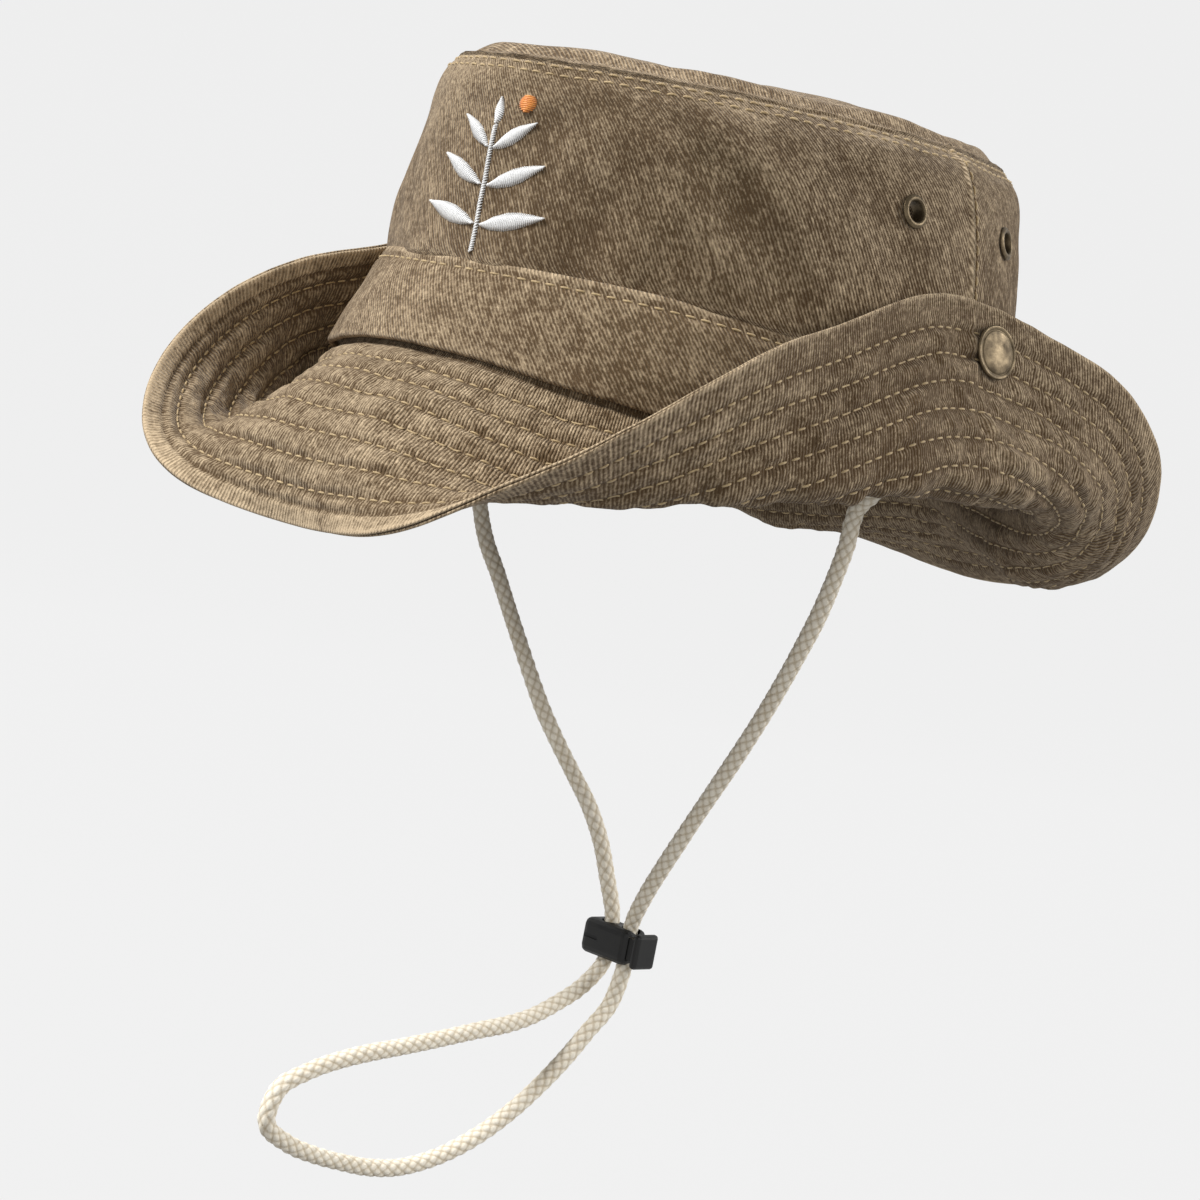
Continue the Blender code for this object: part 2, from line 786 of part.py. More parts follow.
def build_lock(plastic, steel):
    """A two-hole cord lock: housing, sprung plunger and coil spring, pressed along X."""
    x, y, z = LOCK_CENTRE

    def at(dx, dy, dz):
        return (x + dx * MM, y + dy * MM, z + dz * MM)

    housing = block("lock_housing", at(-10.7, -4.5, -5.2), at(7.0, 4.5, 5.2), plastic, 2.2 * MM, 3)
    cavity = block("cutter", at(-9.9, -3.3, -3.4), at(12.0, 3.3, 3.4), plastic)
    holes = [at(side * LOCK_HOLE_X / MM, 0, 0) for side in (-1, 1)]
    bores = [rod(hole, (0, 0, 1), 2.75 * MM, 20 * MM) for hole in holes]
    groove = block("cutter", at(-13.0, -7.0, -0.5), at(-4.0, -4.0, 0.5), plastic)
    carve(housing, [cavity, *bores, groove])
    plunger = block("lock_plunger", at(-7.7, -3.1, -3.1), at(10.0, 3.1, 3.1), plastic)
    head = block("cutter", at(9.0, -4.3, -5.0), at(11.4, 4.3, 5.0), plastic, 1.1 * MM, 3)
    carve(plunger, [head], "UNION")
    slots = [
        block("cutter", at(-6.5, -2.55, -5), at(0.2, 2.55, 5), plastic),
        block("cutter", at(1.55, -2.55, -5), at(8.3, 2.55, 5), plastic),
    ]
    carve(plunger, slots)
    turns = 3
    radius = 2.0 * MM
    start, end = -9.65 * MM, -7.95 * MM
    coil = []
    for part in steps(0.0, 1.0, turns * 8):
        angle = 2 * math.pi * turns * part
        across = radius * Vector((0, math.cos(angle), math.sin(angle)))
        coil.append(Vector((x + start + (end - start) * part, y, z)) + across)
    tube("lock_spring", coil, 0.18 * MM, steel, 1)


def main():
    clear_scene()
    khaki = material("khaki cotton twill", (0.20, 0.14, 0.085), 0.9)
    lining = material("interlining", (0.45, 0.42, 0.36), 0.95)
    inner = material("inside tape", (0.17, 0.12, 0.075), 0.9)
    brass = material("antique brass", (0.35, 0.24, 0.12), 0.45, 1.0)
    thread = material("white thread", (0.85, 0.84, 0.82), 0.6)
    orange = material("orange thread", (0.80, 0.25, 0.04), 0.6)
    label = material("label", (0.75, 0.73, 0.68), 0.8)
    cotton = material("cream cotton cord", (0.62, 0.55, 0.43), 0.85)
    plastic = material("black plastic", (0.015, 0.015, 0.016), 0.5)
    steel = material("spring steel", (0.5, 0.5, 0.5), 0.3, 1.0)
    walls = build_crown(khaki, inner)
    build_eyelets(walls, brass)
    build_brim({"upper": khaki, "interlining": lining, "under": khaki})
    build_snaps(walls, brass)
    build_embroidery(thread, orange)
    build_label(label)
    build_cord(cotton, inner)
    build_lock(plastic, steel)


main()
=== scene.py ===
"""Boonie hat in washed khaki twill, with its side flaps snapped up, a chin cord and a cord lock.

Metres, +Z up, in the frame of the CAD model. The front faces -Y and the wearer's left is +X.
"""

import math

import bmesh
import bpy
import numpy as np
from mathutils import Matrix, Vector


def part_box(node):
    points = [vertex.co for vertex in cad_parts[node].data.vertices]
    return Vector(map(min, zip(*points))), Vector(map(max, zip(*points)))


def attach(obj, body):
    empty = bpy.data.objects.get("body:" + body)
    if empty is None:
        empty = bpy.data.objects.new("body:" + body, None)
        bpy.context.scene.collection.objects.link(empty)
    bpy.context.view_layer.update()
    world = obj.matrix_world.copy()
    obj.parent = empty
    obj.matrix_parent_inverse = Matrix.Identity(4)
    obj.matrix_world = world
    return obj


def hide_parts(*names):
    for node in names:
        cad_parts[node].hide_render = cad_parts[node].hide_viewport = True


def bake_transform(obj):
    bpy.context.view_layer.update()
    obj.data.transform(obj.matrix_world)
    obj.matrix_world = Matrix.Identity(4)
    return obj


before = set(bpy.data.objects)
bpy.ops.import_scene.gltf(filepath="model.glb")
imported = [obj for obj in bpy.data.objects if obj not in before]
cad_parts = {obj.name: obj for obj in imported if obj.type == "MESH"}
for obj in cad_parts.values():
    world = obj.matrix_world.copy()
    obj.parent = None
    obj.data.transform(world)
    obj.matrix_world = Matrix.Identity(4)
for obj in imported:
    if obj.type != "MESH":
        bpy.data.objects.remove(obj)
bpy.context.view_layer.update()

MM = 0.001
UP = np.array((0.0, 0.0, 1.0))

SIDES = (("left", 1), ("right", -1))

# Crown and band, as in the CAD. The crown's levels have a height, a half width and a half length
OPENING = (0.0868, 0.1018)
SIDE_DROP = 10.0 * MM
BAND_DIP = 8.0 * MM
BAND_BOTTOM = 1.9 * MM
BAND_TOP = 24.0 * MM
CROWN_HEIGHTS = (0.0243, 0.0410, 0.0580, 0.0700, 0.0765)
CROWN_WIDTHS = (0.0792, 0.0768, 0.0735, 0.0695, 0.0628)
CROWN_LENGTHS = (0.0942, 0.0934, 0.0923, 0.0905, 0.0860)
CROWN_LEAN = 2.0 * MM
CROWN_SEAM = math.radians(98.5)
WALL = 1.2 * MM
EYELETS = {"front": (84.0, 0.52), "rear": (112.0, 0.48)}

# Brim, as in the CAD: its section at seven angles from the front to the back
BRIM_WIDTH = 61.7 * MM
SLOPE_AT_ROOT = (25, 52, 49, 27, 43, 88, 70)
SLOPE_AT_EDGE = (-110, 16, 101, 113, 101, 25, -28)
FOLD_STARTS = (-0.003, 0.022, 0.010, -0.003, -0.001, 0.009, 0.006)
FOLD_LENGTH = (0.085, 0.027, 0.020, 0.026, 0.040, 0.048, 0.030)
BRIM_SEAM = math.radians(95.5)

# How the snaps draw the cloth, as in the CAD: depth, middle and reach on the brim and the crown
SNAP_ANGLE = 99.8
PULL_TURN = 32.0
FLAP_PULL = (4.3 * MM, 43.0 * MM, 28.0 * MM)
CROWN_PULL = (2.2 * MM, 0.15, 0.50)

# Finish of the crown: its tip's rise and seam, the band's stitching, and its flat cloth's size
TIP_PUFF = 4.5 * MM
SEAM_LEVEL = 0.93
BAND_STITCHING = 0.905
WALL_RADIUS = 86.0 * MM
WALL_HEIGHT = 56.0 * MM

# Stitching and hem of the brim, and its mean radius
BRIM_RADIUS = 0.12
ROWS = 8
ROW_SPACING = 7.2 * MM
ROW_MARGIN = 9.0 * MM
STITCH = 3.0 * MM
STITCH_GAP = 1.0 * MM
ROW_PLACES = BRIM_WIDTH - ROW_MARGIN - ROW_SPACING * np.arange(ROWS)
HEM = BRIM_WIDTH - 5.0 * MM

# Chin cord and lock, as in the CAD
CORD_RADIUS = 2.35 * MM
LOCK = (0.0, 0.0143, -0.1557)
LOCK_HOLE = 4.0 * MM

# The camera: turned from the hat's front, raised and rolled
CAMERA_TURN = math.radians(43.17)
CAMERA_RISE = math.radians(4.96)
CAMERA_ROLL = math.radians(10.9)
CAMERA_TARGET = (-0.00569, -0.01368, -0.05967)
CAMERA_DISTANCE = 0.8423
CAMERA_LENS = 91.85


# ---------------------------------------------------------------- camera


def place_camera():
    back = Vector((
        math.sin(CAMERA_TURN) * math.cos(CAMERA_RISE),
        -math.cos(CAMERA_TURN) * math.cos(CAMERA_RISE),
        math.sin(CAMERA_RISE),
    ))
    right = Vector((math.cos(CAMERA_TURN), math.sin(CAMERA_TURN), 0))
    up = back.cross(right)
    across = right * math.cos(CAMERA_ROLL) + up * math.sin(CAMERA_ROLL)
    upward = up * math.cos(CAMERA_ROLL) - right * math.sin(CAMERA_ROLL)
    data = bpy.data.cameras.new("camera")
    data.sensor_width = 36
    data.lens = CAMERA_LENS
    data.clip_start = 0.05
    data.clip_end = 50
    made = bpy.data.objects.new("camera", data)
    bpy.context.scene.collection.objects.link(made)
    turn = Matrix((across, upward, back)).transposed().to_4x4()
    made.matrix_world = Matrix.Translation(Vector(CAMERA_TARGET) + back * CAMERA_DISTANCE) @ turn
    bpy.context.scene.camera = made


place_camera()


# ---------------------------------------------------------------- helpers


def smooth(t):
    t = np.clip(t, 0.0, 1.0)
    return t * t * (3 - 2 * t)


def hump(t):
    """1 at 0, falling smoothly to 0 at 1 either side."""
    return smooth(1 - np.abs(t))


def unit(v):
    return v / np.maximum(np.linalg.norm(v, axis=-1, keepdims=True), 1e-12)


def arrays(*values):
    """The values as arrays of one shape."""
    return np.broadcast_arrays(*(np.asarray(v, float) for v in values))


def xyz(*values):
    """Points from their three coordinates."""
    return np.stack(arrays(*values), -1)


def run_lengths(points):
    """Distance along a line of points to each of them."""
    return np.concatenate([[0], np.cumsum(np.linalg.norm(np.diff(points, axis=0), axis=1))])


def read_along(where, lengths, points):
    """Points at the given distances along a line."""
    return np.stack([np.interp(where, lengths, points[:, axis]) for axis in range(3)], -1)


def spline(values, x, mirrored=False):
    """A smooth curve through evenly spaced values, read at x from 0 to 1."""
    values = np.asarray(values, float)
    last = len(values) - 1
    x = np.asarray(x, float)
    first = np.clip((x * last).astype(int), 0, last - 1)
    t = x * last - first

    def value(k):
        if mirrored:
            return values[last - np.abs(last - np.abs(k))]
        return values[np.clip(k, 0, last)]

    a, b, c, d = (value(first + k) for k in (-1, 0, 1, 2))
    cubic = (2 * a - 5 * b + 4 * c - d) * t * t + (3 * b - a - 3 * c + d) * t**3
    return 0.5 * (2 * b + (c - a) * t + cubic)


def ripple(x, y, seed):
    """Smooth seeded noise from -1 to 1 over a plane, one wave to a unit."""
    return between_cells(x, y, np.random.default_rng(seed).uniform(-1, 1, (128, 128)))


def around_noise(phi, v, waves, seed):
    """Smooth seeded noise from -1 to 1 that meets itself after a full turn."""
    turn = np.mod(phi / (2 * np.pi), 1.0)
    return between_cells(turn * waves, v, np.random.default_rng(seed).uniform(-1, 1, (waves, 64)))


def between_cells(x, y, table):
    """Smooth values between a table's cells, which repeat past its edges."""
    rows, columns = table.shape
    x, y = arrays(x, y)
    i, j = np.floor(x).astype(int), np.floor(y).astype(int)
    u, v = smooth(x - i), smooth(y - j)
    a, b = table[i % rows, j % columns], table[(i + 1) % rows, j % columns]
    c, d = table[i % rows, (j + 1) % columns], table[(i + 1) % rows, (j + 1) % columns]
    return (a * (1 - u) + b * u) * (1 - v) + (c * (1 - u) + d * u) * v


def new_object(name, points, faces, material, cloth=None, wear_and_painted_light=None, auto_smooth=None):
    """An object whose faces point out; its material reads at each point the cloth's place and its
    wear together with painted light and shade.
    """
    mesh = bpy.data.meshes.new(name)
    mesh.from_pydata([tuple(p) for p in points], [], faces)
    mesh.validate(clean_customdata=False)
    bm = bmesh.new()
    bm.from_mesh(mesh)
    bmesh.ops.recalc_face_normals(bm, faces=bm.faces)
    bm.to_mesh(mesh)
    bm.free()
    mesh.shade_smooth()
    if auto_smooth:
        mesh.set_sharp_from_angle(angle=math.radians(auto_smooth))
    return finished(mesh, material, cloth, wear_and_painted_light)


def finished(mesh, material, cloth, wear_and_painted_light):
    """The mesh as an object, with its material: cloth places it, and the other attribute is how
    worn it is together with painted light and shade.
    """
    if cloth is not None:
        made = mesh.attributes.new("cloth", "FLOAT_VECTOR", "POINT")
        made.data.foreach_set("vector", np.asarray(cloth, np.float32).ravel())
    if wear_and_painted_light is not None:
        made = mesh.attributes.new("wear_and_painted_light", "FLOAT", "POINT")
        made.data.foreach_set("value", np.asarray(wear_and_painted_light, np.float32).ravel())
    mesh.materials.append(material)
    made = bpy.data.objects.new(mesh.name, mesh)
    bpy.context.scene.collection.objects.link(made)
    return made


def grid_faces(rows, columns, closed_rows=False, closed_columns=False):
    """Quads of a grid whose points run column by column within a row."""
    i = np.arange(rows if closed_rows else rows - 1)[:, None]
    j = np.arange(columns if closed_columns else columns - 1)[None, :]
    k, m = (i + 1) % rows, (j + 1) % columns
    quads = np.stack([i * columns + j, k * columns + j, k * columns + m, i * columns + m], -1)
    return quads.reshape(-1, 4).tolist()


def loop_shell(name, loops, material, cloth, wear_and_painted_light=None, closed=True):
    """A solid swept through closed section loops: points are (stations, points round, 3).

    closed joins the last station to the first; otherwise both ends are capped.
    """
    stations, around = loops.shape[:2]
    faces = grid_faces(stations, around, closed, True)
    if not closed:
        half = around // 2
        for base in (0, (stations - 1) * around):
            for j in range(half):
                ring = [j, j + 1, around - 2 - j, around - 1 - j]
                ring = list(dict.fromkeys(base + k for k in ring))
                if len(ring) > 2:
                    faces.append(ring)
    return new_object(name, loops.reshape(-1, 3), faces, material, cloth, wear_and_painted_light)


def lathe(name, outline, centre, axis, material, segments=64):
    """A solid turned round an axis; outline is a closed list of (radius, height)."""
    turn = np.array(Vector(axis).to_track_quat("Z", "Y").to_matrix())
    points, rings = [], []
    angles = 2 * np.pi * np.arange(segments) / segments
    for radius, height in outline:
        count = 1 if radius < 1e-7 else segments
        round_it = angles[:count]
        local = xyz(radius * np.cos(round_it), radius * np.sin(round_it), height)
        rings.append(list(range(len(points), len(points) + count)))
        points.extend(np.asarray(centre) + local @ turn.T)
    faces = []
    for a, b in zip(rings, rings[1:] + rings[:1]):
        if len(a) == 1 and len(b) == 1:
            continue
        for i in range(segments):
            k = (i + 1) % segments
            ring = [a[i % len(a)], a[k % len(a)], b[k % len(b)], b[i % len(b)]]
            faces.append(list(dict.fromkeys(ring)))
    return new_object(name, points, faces, material, auto_smooth=40)


def rounded(outline, radius):
    """The outline of a turned piece with its corners rounded."""
    steps = 3
    made = []
    count = len(outline)
    for i in range(count):
        before, at, after = (np.array(outline[(i + k) % count], float) for k in (-1, 0, 1))
        if at[0] < 1e-7:
            made.append(tuple(at))
            continue
        a, b = before - at, after - at
        reach = min(radius, 0.45 * np.linalg.norm(a), 0.45 * np.linalg.norm(b))
        start, end = at + unit(a) * reach, at + unit(b) * reach
        for t in np.linspace(0, 1, steps + 1):
            made.append(tuple((1 - t) ** 2 * start + 2 * t * (1 - t) * at + t * t * end))
    return made


# ---------------------------------------------------------------- surfaces shared with the CAD


def across_oval(phi):
    """Outward direction of the head opening's oval."""
    return unit(xyz(np.sin(phi) / OPENING[0], -np.cos(phi) / OPENING[1], 0))


def opening_at(phi):
    """The head opening's edge, lower at the sides."""
    drop = SIDE_DROP * np.sin(phi) ** 2
    return xyz(OPENING[0] * np.sin(phi), -OPENING[1] * np.cos(phi), -drop)


def signed(phi):
    """The angle between minus and plus half a turn."""
    return np.arctan2(np.sin(phi), np.cos(phi))


def drawn(phi, offset, reach):
    """How strongly the snaps draw the cloth, from 0 to 1."""
    turn = np.abs(np.degrees(signed(phi))) - SNAP_ANGLE
    return smooth(1 - np.abs(turn) / PULL_TURN) * smooth(1 - np.abs(offset) / reach)


def band_dip(phi):
    return BAND_DIP * np.sin(phi) ** 6


def crown_at(phi, level):
    """The crown wall's middle surface, for level from 0 at the band to 1 at the tip."""
    phi, level = arrays(phi, level)
    inside = np.clip(level, 0, 1)
    columns = (CROWN_HEIGHTS, CROWN_WIDTHS, CROWN_LENGTHS)
    height, width, length = (spline(column, inside) for column in columns)
    height = height - band_dip(phi) * (1 - inside) ** 2
    depth, place, reach = CROWN_PULL
    swell = depth * drawn(phi, inside - place, reach)
    return xyz(
        (width + swell) * np.sin(phi),
        -(length + swell) * np.cos(phi) - CROWN_LEAN * inside,
        height,
    )


def crown_normal(phi, level):
    step = 1e-4
    level = np.clip(np.asarray(level, float), step, 1 - step)
    along_u = crown_at(phi + step, level) - crown_at(phi - step, level)
    along_v = crown_at(phi, level + step) - crown_at(phi, level - step)
    return unit(np.cross(along_u, along_v))


def off_crown(phi, level, out):
    """Points at a distance outwards from the crown wall's middle surface."""
    return crown_at(phi, level) + crown_normal(phi, level) * np.asarray(out)[..., None]


def band_top(phi):
    """The top edge of the band, against the crown."""
    top = crown_at(phi, 0)
    top[..., 2] = BAND_TOP - band_dip(phi)
    return top


def band_at(phi, level):
    """The band's flat surface, from the head opening (0) to its top edge (1)."""
    phi, level = arrays(phi, level)
    low = opening_at(phi) + UP * BAND_BOTTOM
    return low + (band_top(phi) - low) * level[..., None]


SECTION_STEPS = 256


def brim_section(phi):
    """(outward, upward, slope) of the brim at even steps from its root, for an array of angles."""
    turn = np.abs(signed(phi)) / np.pi
    columns = (SLOPE_AT_ROOT, SLOPE_AT_EDGE, FOLD_STARTS, FOLD_LENGTH)
    root, edge, start, length = (spline(c, turn, mirrored=True)[:, None] for c in columns)
    step = BRIM_WIDTH / SECTION_STEPS
    s = step * np.arange(SECTION_STEPS + 1)[None, :]
    slope = np.radians(-root + (root + edge) * smooth((s - start) / length))
    zero = np.zeros((len(slope), 1))
    out = np.concatenate([zero, np.cumsum(step * np.cos(slope[:, :-1]), 1)], 1)
    up = np.concatenate([zero, np.cumsum(step * np.sin(slope[:, :-1]), 1)], 1)
    return out, up, slope


def brim_at(phi, s, offset):
    """Points of the brim by angle, distance from the root, and offset towards the upper side."""
    phi, s, offset = arrays(phi, s, offset)
    shape = phi.shape
    phi, s, offset = phi.ravel(), s.ravel(), offset.ravel()
    angles, which = np.unique(phi, return_inverse=True)
    out, up, slope = brim_section(angles)
    place = np.clip(s / BRIM_WIDTH, 0, 1.02) * SECTION_STEPS
    first = np.clip(place.astype(int), 0, SECTION_STEPS - 1)
    part = place - first

    def read(table):
        return table[which, first] * (1 - part) + table[which, first + 1] * part

    out, up, slope = read(out), read(up), read(slope)
    depth, middle, reach = FLAP_PULL
    pull = depth * drawn(phi, s - middle, reach)
    across = out - pull - offset * np.sin(slope)
    points = opening_at(phi) + across_oval(phi) * across[:, None]
    points += UP * (up + offset * np.cos(slope))[:, None]
    return points.reshape(*shape, 3)


# ---------------------------------------------------------------- materials


class Nodes:
    """Short names for building a material's nodes."""

    def __init__(self, name):
        self.material = bpy.data.materials.new(name)
        self.material.use_nodes = True
        self.tree = self.material.node_tree
        self.shader = self.tree.nodes["Principled BSDF"]

    def add(self, kind, inputs=None, **settings):
        made = self.tree.nodes.new(kind)
        for key, value in settings.items():
            setattr(made, key, value)
        for key, value in (inputs or {}).items():
            self.put(made, key, value)
        return made

    def put(self, node, key, value):
        if isinstance(value, bpy.types.NodeSocket):
            self.tree.links.new(value, node.inputs[key])
        else:
            node.inputs[key].default_value = value

    def set(self, key, value):
        self.put(self.shader, key, value)

    def maths(self, operation, a, b, clamp=False):
        made = self.add("ShaderNodeMath", {0: a, 1: b}, operation=operation, use_clamp=clamp)
        return made.outputs[0]

    def mix(self, factor, a, b):
        made = self.add("ShaderNodeMix", data_type="RGBA")
        for index, value in ((0, factor), (6, a), (7, b)):
            self.put(made, index, value)
        return made.outputs[2]

    def attribute(self, name):
        return self.add("ShaderNodeAttribute", attribute_name=name)

    def place(self):
        return self.add("ShaderNodeTexCoord").outputs["Object"]

    def colour(self, tone, dark, pale):
        self.set("Base Color", self.mix(tone, (*dark, 1), (*pale, 1)))

    def noise(self, vector, scale, detail, roughness):
        inputs = {"Vector": vector, "Scale": scale, "Detail": detail, "Roughness": roughness}
        return self.add("ShaderNodeTexNoise", inputs).outputs["Fac"]

    def ranged(self, value, low, high, to_low=0.0, to_high=1.0):
        made = self.add("ShaderNodeMapRange")
        for key, limit in enumerate((value, low, high, to_low, to_high)):
            self.put(made, key, limit)
        return made.outputs[0]

    def bump(self, height, distance, strength, normal=None):
        inputs = {"Height": height, "Distance": distance, "Strength": strength}
        if normal is not None:
            inputs["Normal"] = normal
        return self.add("ShaderNodeBump", inputs).outputs[0]


WAVE_LENGTH = 0.31416  # metres from rib to rib of a wave texture whose scale is 1


def twill(name, tilt, pitch=0.88 * MM):
    """Washed cotton twill: ribs, yarn ends along them, mottled fading, pale worn edges, and painted
    light and shade.
    """
    n = Nodes(name)
    cloth = n.attribute("cloth").outputs["Vector"]
    turned = n.add("ShaderNodeMapping", {"Vector": cloth, "Rotation": (0, 0, math.radians(tilt))})
    turned = turned.outputs[0]
    ribs = n.add("ShaderNodeTexWave", {
        "Vector": turned,
        "Scale": WAVE_LENGTH / pitch,
        "Distortion": 1.7,
        "Detail": 3.0,
        "Detail Scale": 1.6,
        "Detail Roughness": 0.7,
    }).outputs["Fac"]
    longer = n.add("ShaderNodeMapping", {"Vector": turned, "Scale": (1.0, 0.34, 1.0)}).outputs[0]
    fibres = n.noise(longer, 1050.0, 3.0, 0.7)
    slubs = n.noise(longer, 480.0, 3.0, 0.65)
    patches = n.noise(cloth, 30.0, 5.0, 0.66)
    clouds = n.noise(cloth, 120.0, 4.0, 0.65)
    specks = n.noise(cloth, 800.0, 3.0, 0.75)
    # Wear together with painted light and shade, read from the mesh
    wear_and_painted_light = n.attribute("wear_and_painted_light").outputs["Fac"]
    parts = (
        (n.ranged(patches, 0.32, 0.70), 0.26),
        (n.ranged(clouds, 0.34, 0.68), 0.22),
        (n.ranged(slubs, 0.32, 0.70), 0.26),
        (n.ranged(fibres, 0.34, 0.68), 0.56),
        (n.ranged(specks, 0.42, 0.66), 0.48),
        (ribs, 0.42),
        (wear_and_painted_light, 0.6),
    )
    tone = -0.80
    for value, share in parts:
        tone = n.maths("ADD", tone, n.maths("MULTIPLY", value, share))
    tone = n.maths("ADD", tone, 0.0, clamp=True)
    n.colour(tone, DYED, WASHED)
    n.set("Roughness", n.ranged(fibres, 0.3, 0.7, 0.84, 0.96))
    n.set("Specular IOR Level", 0.15)
    n.set("Sheen Weight", 0.08)
    n.set("Sheen Roughness", 0.55)
    first = n.bump(ribs, 0.30 * MM, 0.9)
    second = n.bump(fibres, 0.20 * MM, 0.8, first)
    n.set("Normal", n.bump(clouds, 0.6 * MM, 0.5, second))
    return n.material


def plain_weave(name, dark, pale, pitch=0.6 * MM, roughness=0.92):
    """Plain woven cotton tape."""
    n = Nodes(name)
    cloth = n.attribute("cloth").outputs["Vector"]
    waves = []
    for direction in ("X", "Y"):
        inputs = {"Vector": cloth, "Scale": WAVE_LENGTH / pitch, "Distortion": 0.8, "Detail": 1.0}
        waves.append(n.add("ShaderNodeTexWave", inputs, bands_direction=direction).outputs["Fac"])
    weave = n.maths("MULTIPLY", waves[0], waves[1])
    patches = n.noise(cloth, 120.0, 4.0, 0.6)
    tone = n.maths("ADD", n.ranged(patches, 0.3, 0.7, 0.1, 0.7), n.maths("MULTIPLY", weave, 0.35))
    n.colour(tone, dark, pale)
    n.set("Roughness", roughness)
    n.set("Sheen Weight", 0.1)
    n.set("Normal", n.bump(weave, 0.15 * MM, 0.8))
    return n.material


def thread(name, dark, pale, roughness=0.6, sheen=0.15):
    """Twisted sewing thread."""
    n = Nodes(name)
    place = n.place()
    fibres = n.noise(place, 1500.0, 3.0, 0.6)
    clouds = n.noise(place, 120.0, 2.0, 0.5)
    fine = n.ranged(fibres, 0.3, 0.7, 0.0, 0.6)
    n.colour(n.maths("ADD", fine, n.ranged(clouds, 0.3, 0.7, 0.0, 0.4)), dark, pale)
    n.set("Roughness", roughness)
    n.set("Sheen Weight", sheen)
    n.set("Normal", n.bump(fibres, 0.08 * MM, 0.7))
    return n.material


def braided(name):
    """Cream cotton with painted shade between the strands, and fine fibres along them."""
    n = Nodes(name)
    along = n.attribute("cloth").outputs["Vector"]
    rise = n.attribute("wear_and_painted_light").outputs["Fac"]
    fibres = n.noise(along, 2600.0, 3.0, 0.65)
    clouds = n.noise(along, 70.0, 3.0, 0.5)
    # The strands' rise sets painted shade between them
    tone = n.ranged(rise, 0.0, 0.75, 0.0, 0.72)
    tone = n.maths("ADD", tone, n.ranged(fibres, 0.3, 0.7, -0.1, 0.2))
    tone = n.maths("ADD", tone, n.ranged(clouds, 0.3, 0.7, -0.08, 0.12), clamp=True)
    n.colour(tone, (0.48, 0.385, 0.25), (0.96, 0.90, 0.775))
    n.set("Roughness", 0.88)
    n.set("Specular IOR Level", 0.2)
    n.set("Sheen Weight", 0.12)
    n.set("Normal", n.bump(fibres, 0.1 * MM, 0.6))
    return n.material


def antique_brass(name):
    """Dull antique plating: brown in the hollows, rubbed brighter in patches, finely scratched."""
    n = Nodes(name)
    place = n.place()
    patches = n.noise(place, 260.0, 4.0, 0.65)
    grain = n.noise(place, 1800.0, 2.0, 0.6)
    stretched = n.add("ShaderNodeMapping", {"Vector": place, "Scale": (1, 1, 9)}).outputs[0]
    scratches = n.noise(stretched, 900.0, 2.0, 0.7)
    scored = n.ranged(scratches, 0.5, 0.8, 0.0, 0.3)
    tone = n.maths("ADD", n.ranged(patches, 0.35, 0.68), scored, clamp=True)
    n.colour(tone, (0.055, 0.039, 0.021), (0.170, 0.128, 0.075))
    n.set("Metallic", 0.85)
    n.set("Roughness", n.ranged(patches, 0.3, 0.7, 0.58, 0.44))
    n.set("Normal", n.bump(grain, 0.05 * MM, 0.5))
    return n.material


def black_plastic(name):
    """Moulded matte plastic with a fine spark-eroded grain and rubbed patches."""
    n = Nodes(name)
    place = n.place()
    grain = n.noise(place, 2600.0, 2.0, 0.6)
    patches = n.noise(place, 180.0, 3.0, 0.6)
    n.colour(n.ranged(patches, 0.3, 0.7), (0.005, 0.005, 0.005), (0.012, 0.012, 0.011))
    n.set("Roughness", n.ranged(patches, 0.3, 0.7, 0.40, 0.55))
    n.set("Specular IOR Level", 0.3)
    n.set("Normal", n.bump(grain, 0.05 * MM, 0.55))
    return n.material


def steel(name):
    """Bright drawn wire."""
    n = Nodes(name)
    place = n.place()
    grain = n.noise(place, 3000.0, 2.0, 0.6)
    n.colour(grain, (0.38, 0.38, 0.39), (0.58, 0.58, 0.58))
    n.set("Metallic", 1.0)
    n.set("Roughness", n.ranged(grain, 0.3, 0.7, 0.25, 0.4))
    return n.material


def backdrop_paper(name):
    """Evenly lit studio paper, which takes no shadow."""
    n = Nodes(name)
    place = n.place()
    clouds = n.noise(place, 2.0, 2.0, 0.5)
    n.colour(clouds, (0.010, 0.010, 0.010), (0.016, 0.016, 0.016))
    n.set("Emission Color", (1, 1, 1, 1))
    n.set("Emission Strength", 0.842)
    n.set("Roughness", 0.95)
    n.set("Specular IOR Level", 0.1)
    return n.material


DYED = (0.096, 0.058, 0.026)
WASHED = (0.540, 0.415, 0.268)
CROWN_TWILL = twill("crown twill", -34)
BAND_TWILL = twill("band twill", -38)
BRIM_TWILL = twill("brim twill", -5, 0.98 * MM)
TIP_TWILL = twill("tip twill", 62)
INSIDE_TAPE = plain_weave("inside tape", (0.10, 0.070, 0.040), (0.24, 0.18, 0.115))
LABEL = plain_weave("woven label", (0.55, 0.53, 0.48), (0.80, 0.78, 0.73), 0.35 * MM, 0.7)
OCHRE = thread("ochre thread", (0.27, 0.18, 0.078), (0.54, 0.405, 0.215))
WHITE = thread("white thread", (0.60, 0.60, 0.60), (0.90, 0.90, 0.89), 0.5, 0.3)
ORANGE = thread("orange thread", (0.62, 0.17, 0.02), (0.90, 0.38, 0.07), 0.45, 0.3)
COTTON = braided("cotton cord")
BRASS = antique_brass("antique brass")
PLASTIC = black_plastic("black plastic")
STEEL = steel("spring steel")


# ---------------------------------------------------------------- cords


def route(points, spacing):
    """Points every spacing along a smooth curve through the given ones."""
    points = np.asarray(points, float)
    last = len(points) - 1
    x = np.linspace(0, 1, last * 24 + 1)
    fine = np.stack([spline(points[:, axis], x) for axis in range(3)], -1)
    lengths = run_lengths(fine)
    count = max(round(lengths[-1] / spacing), 2)
    return read_along(np.linspace(0, lengths[-1], count + 1), lengths, fine)


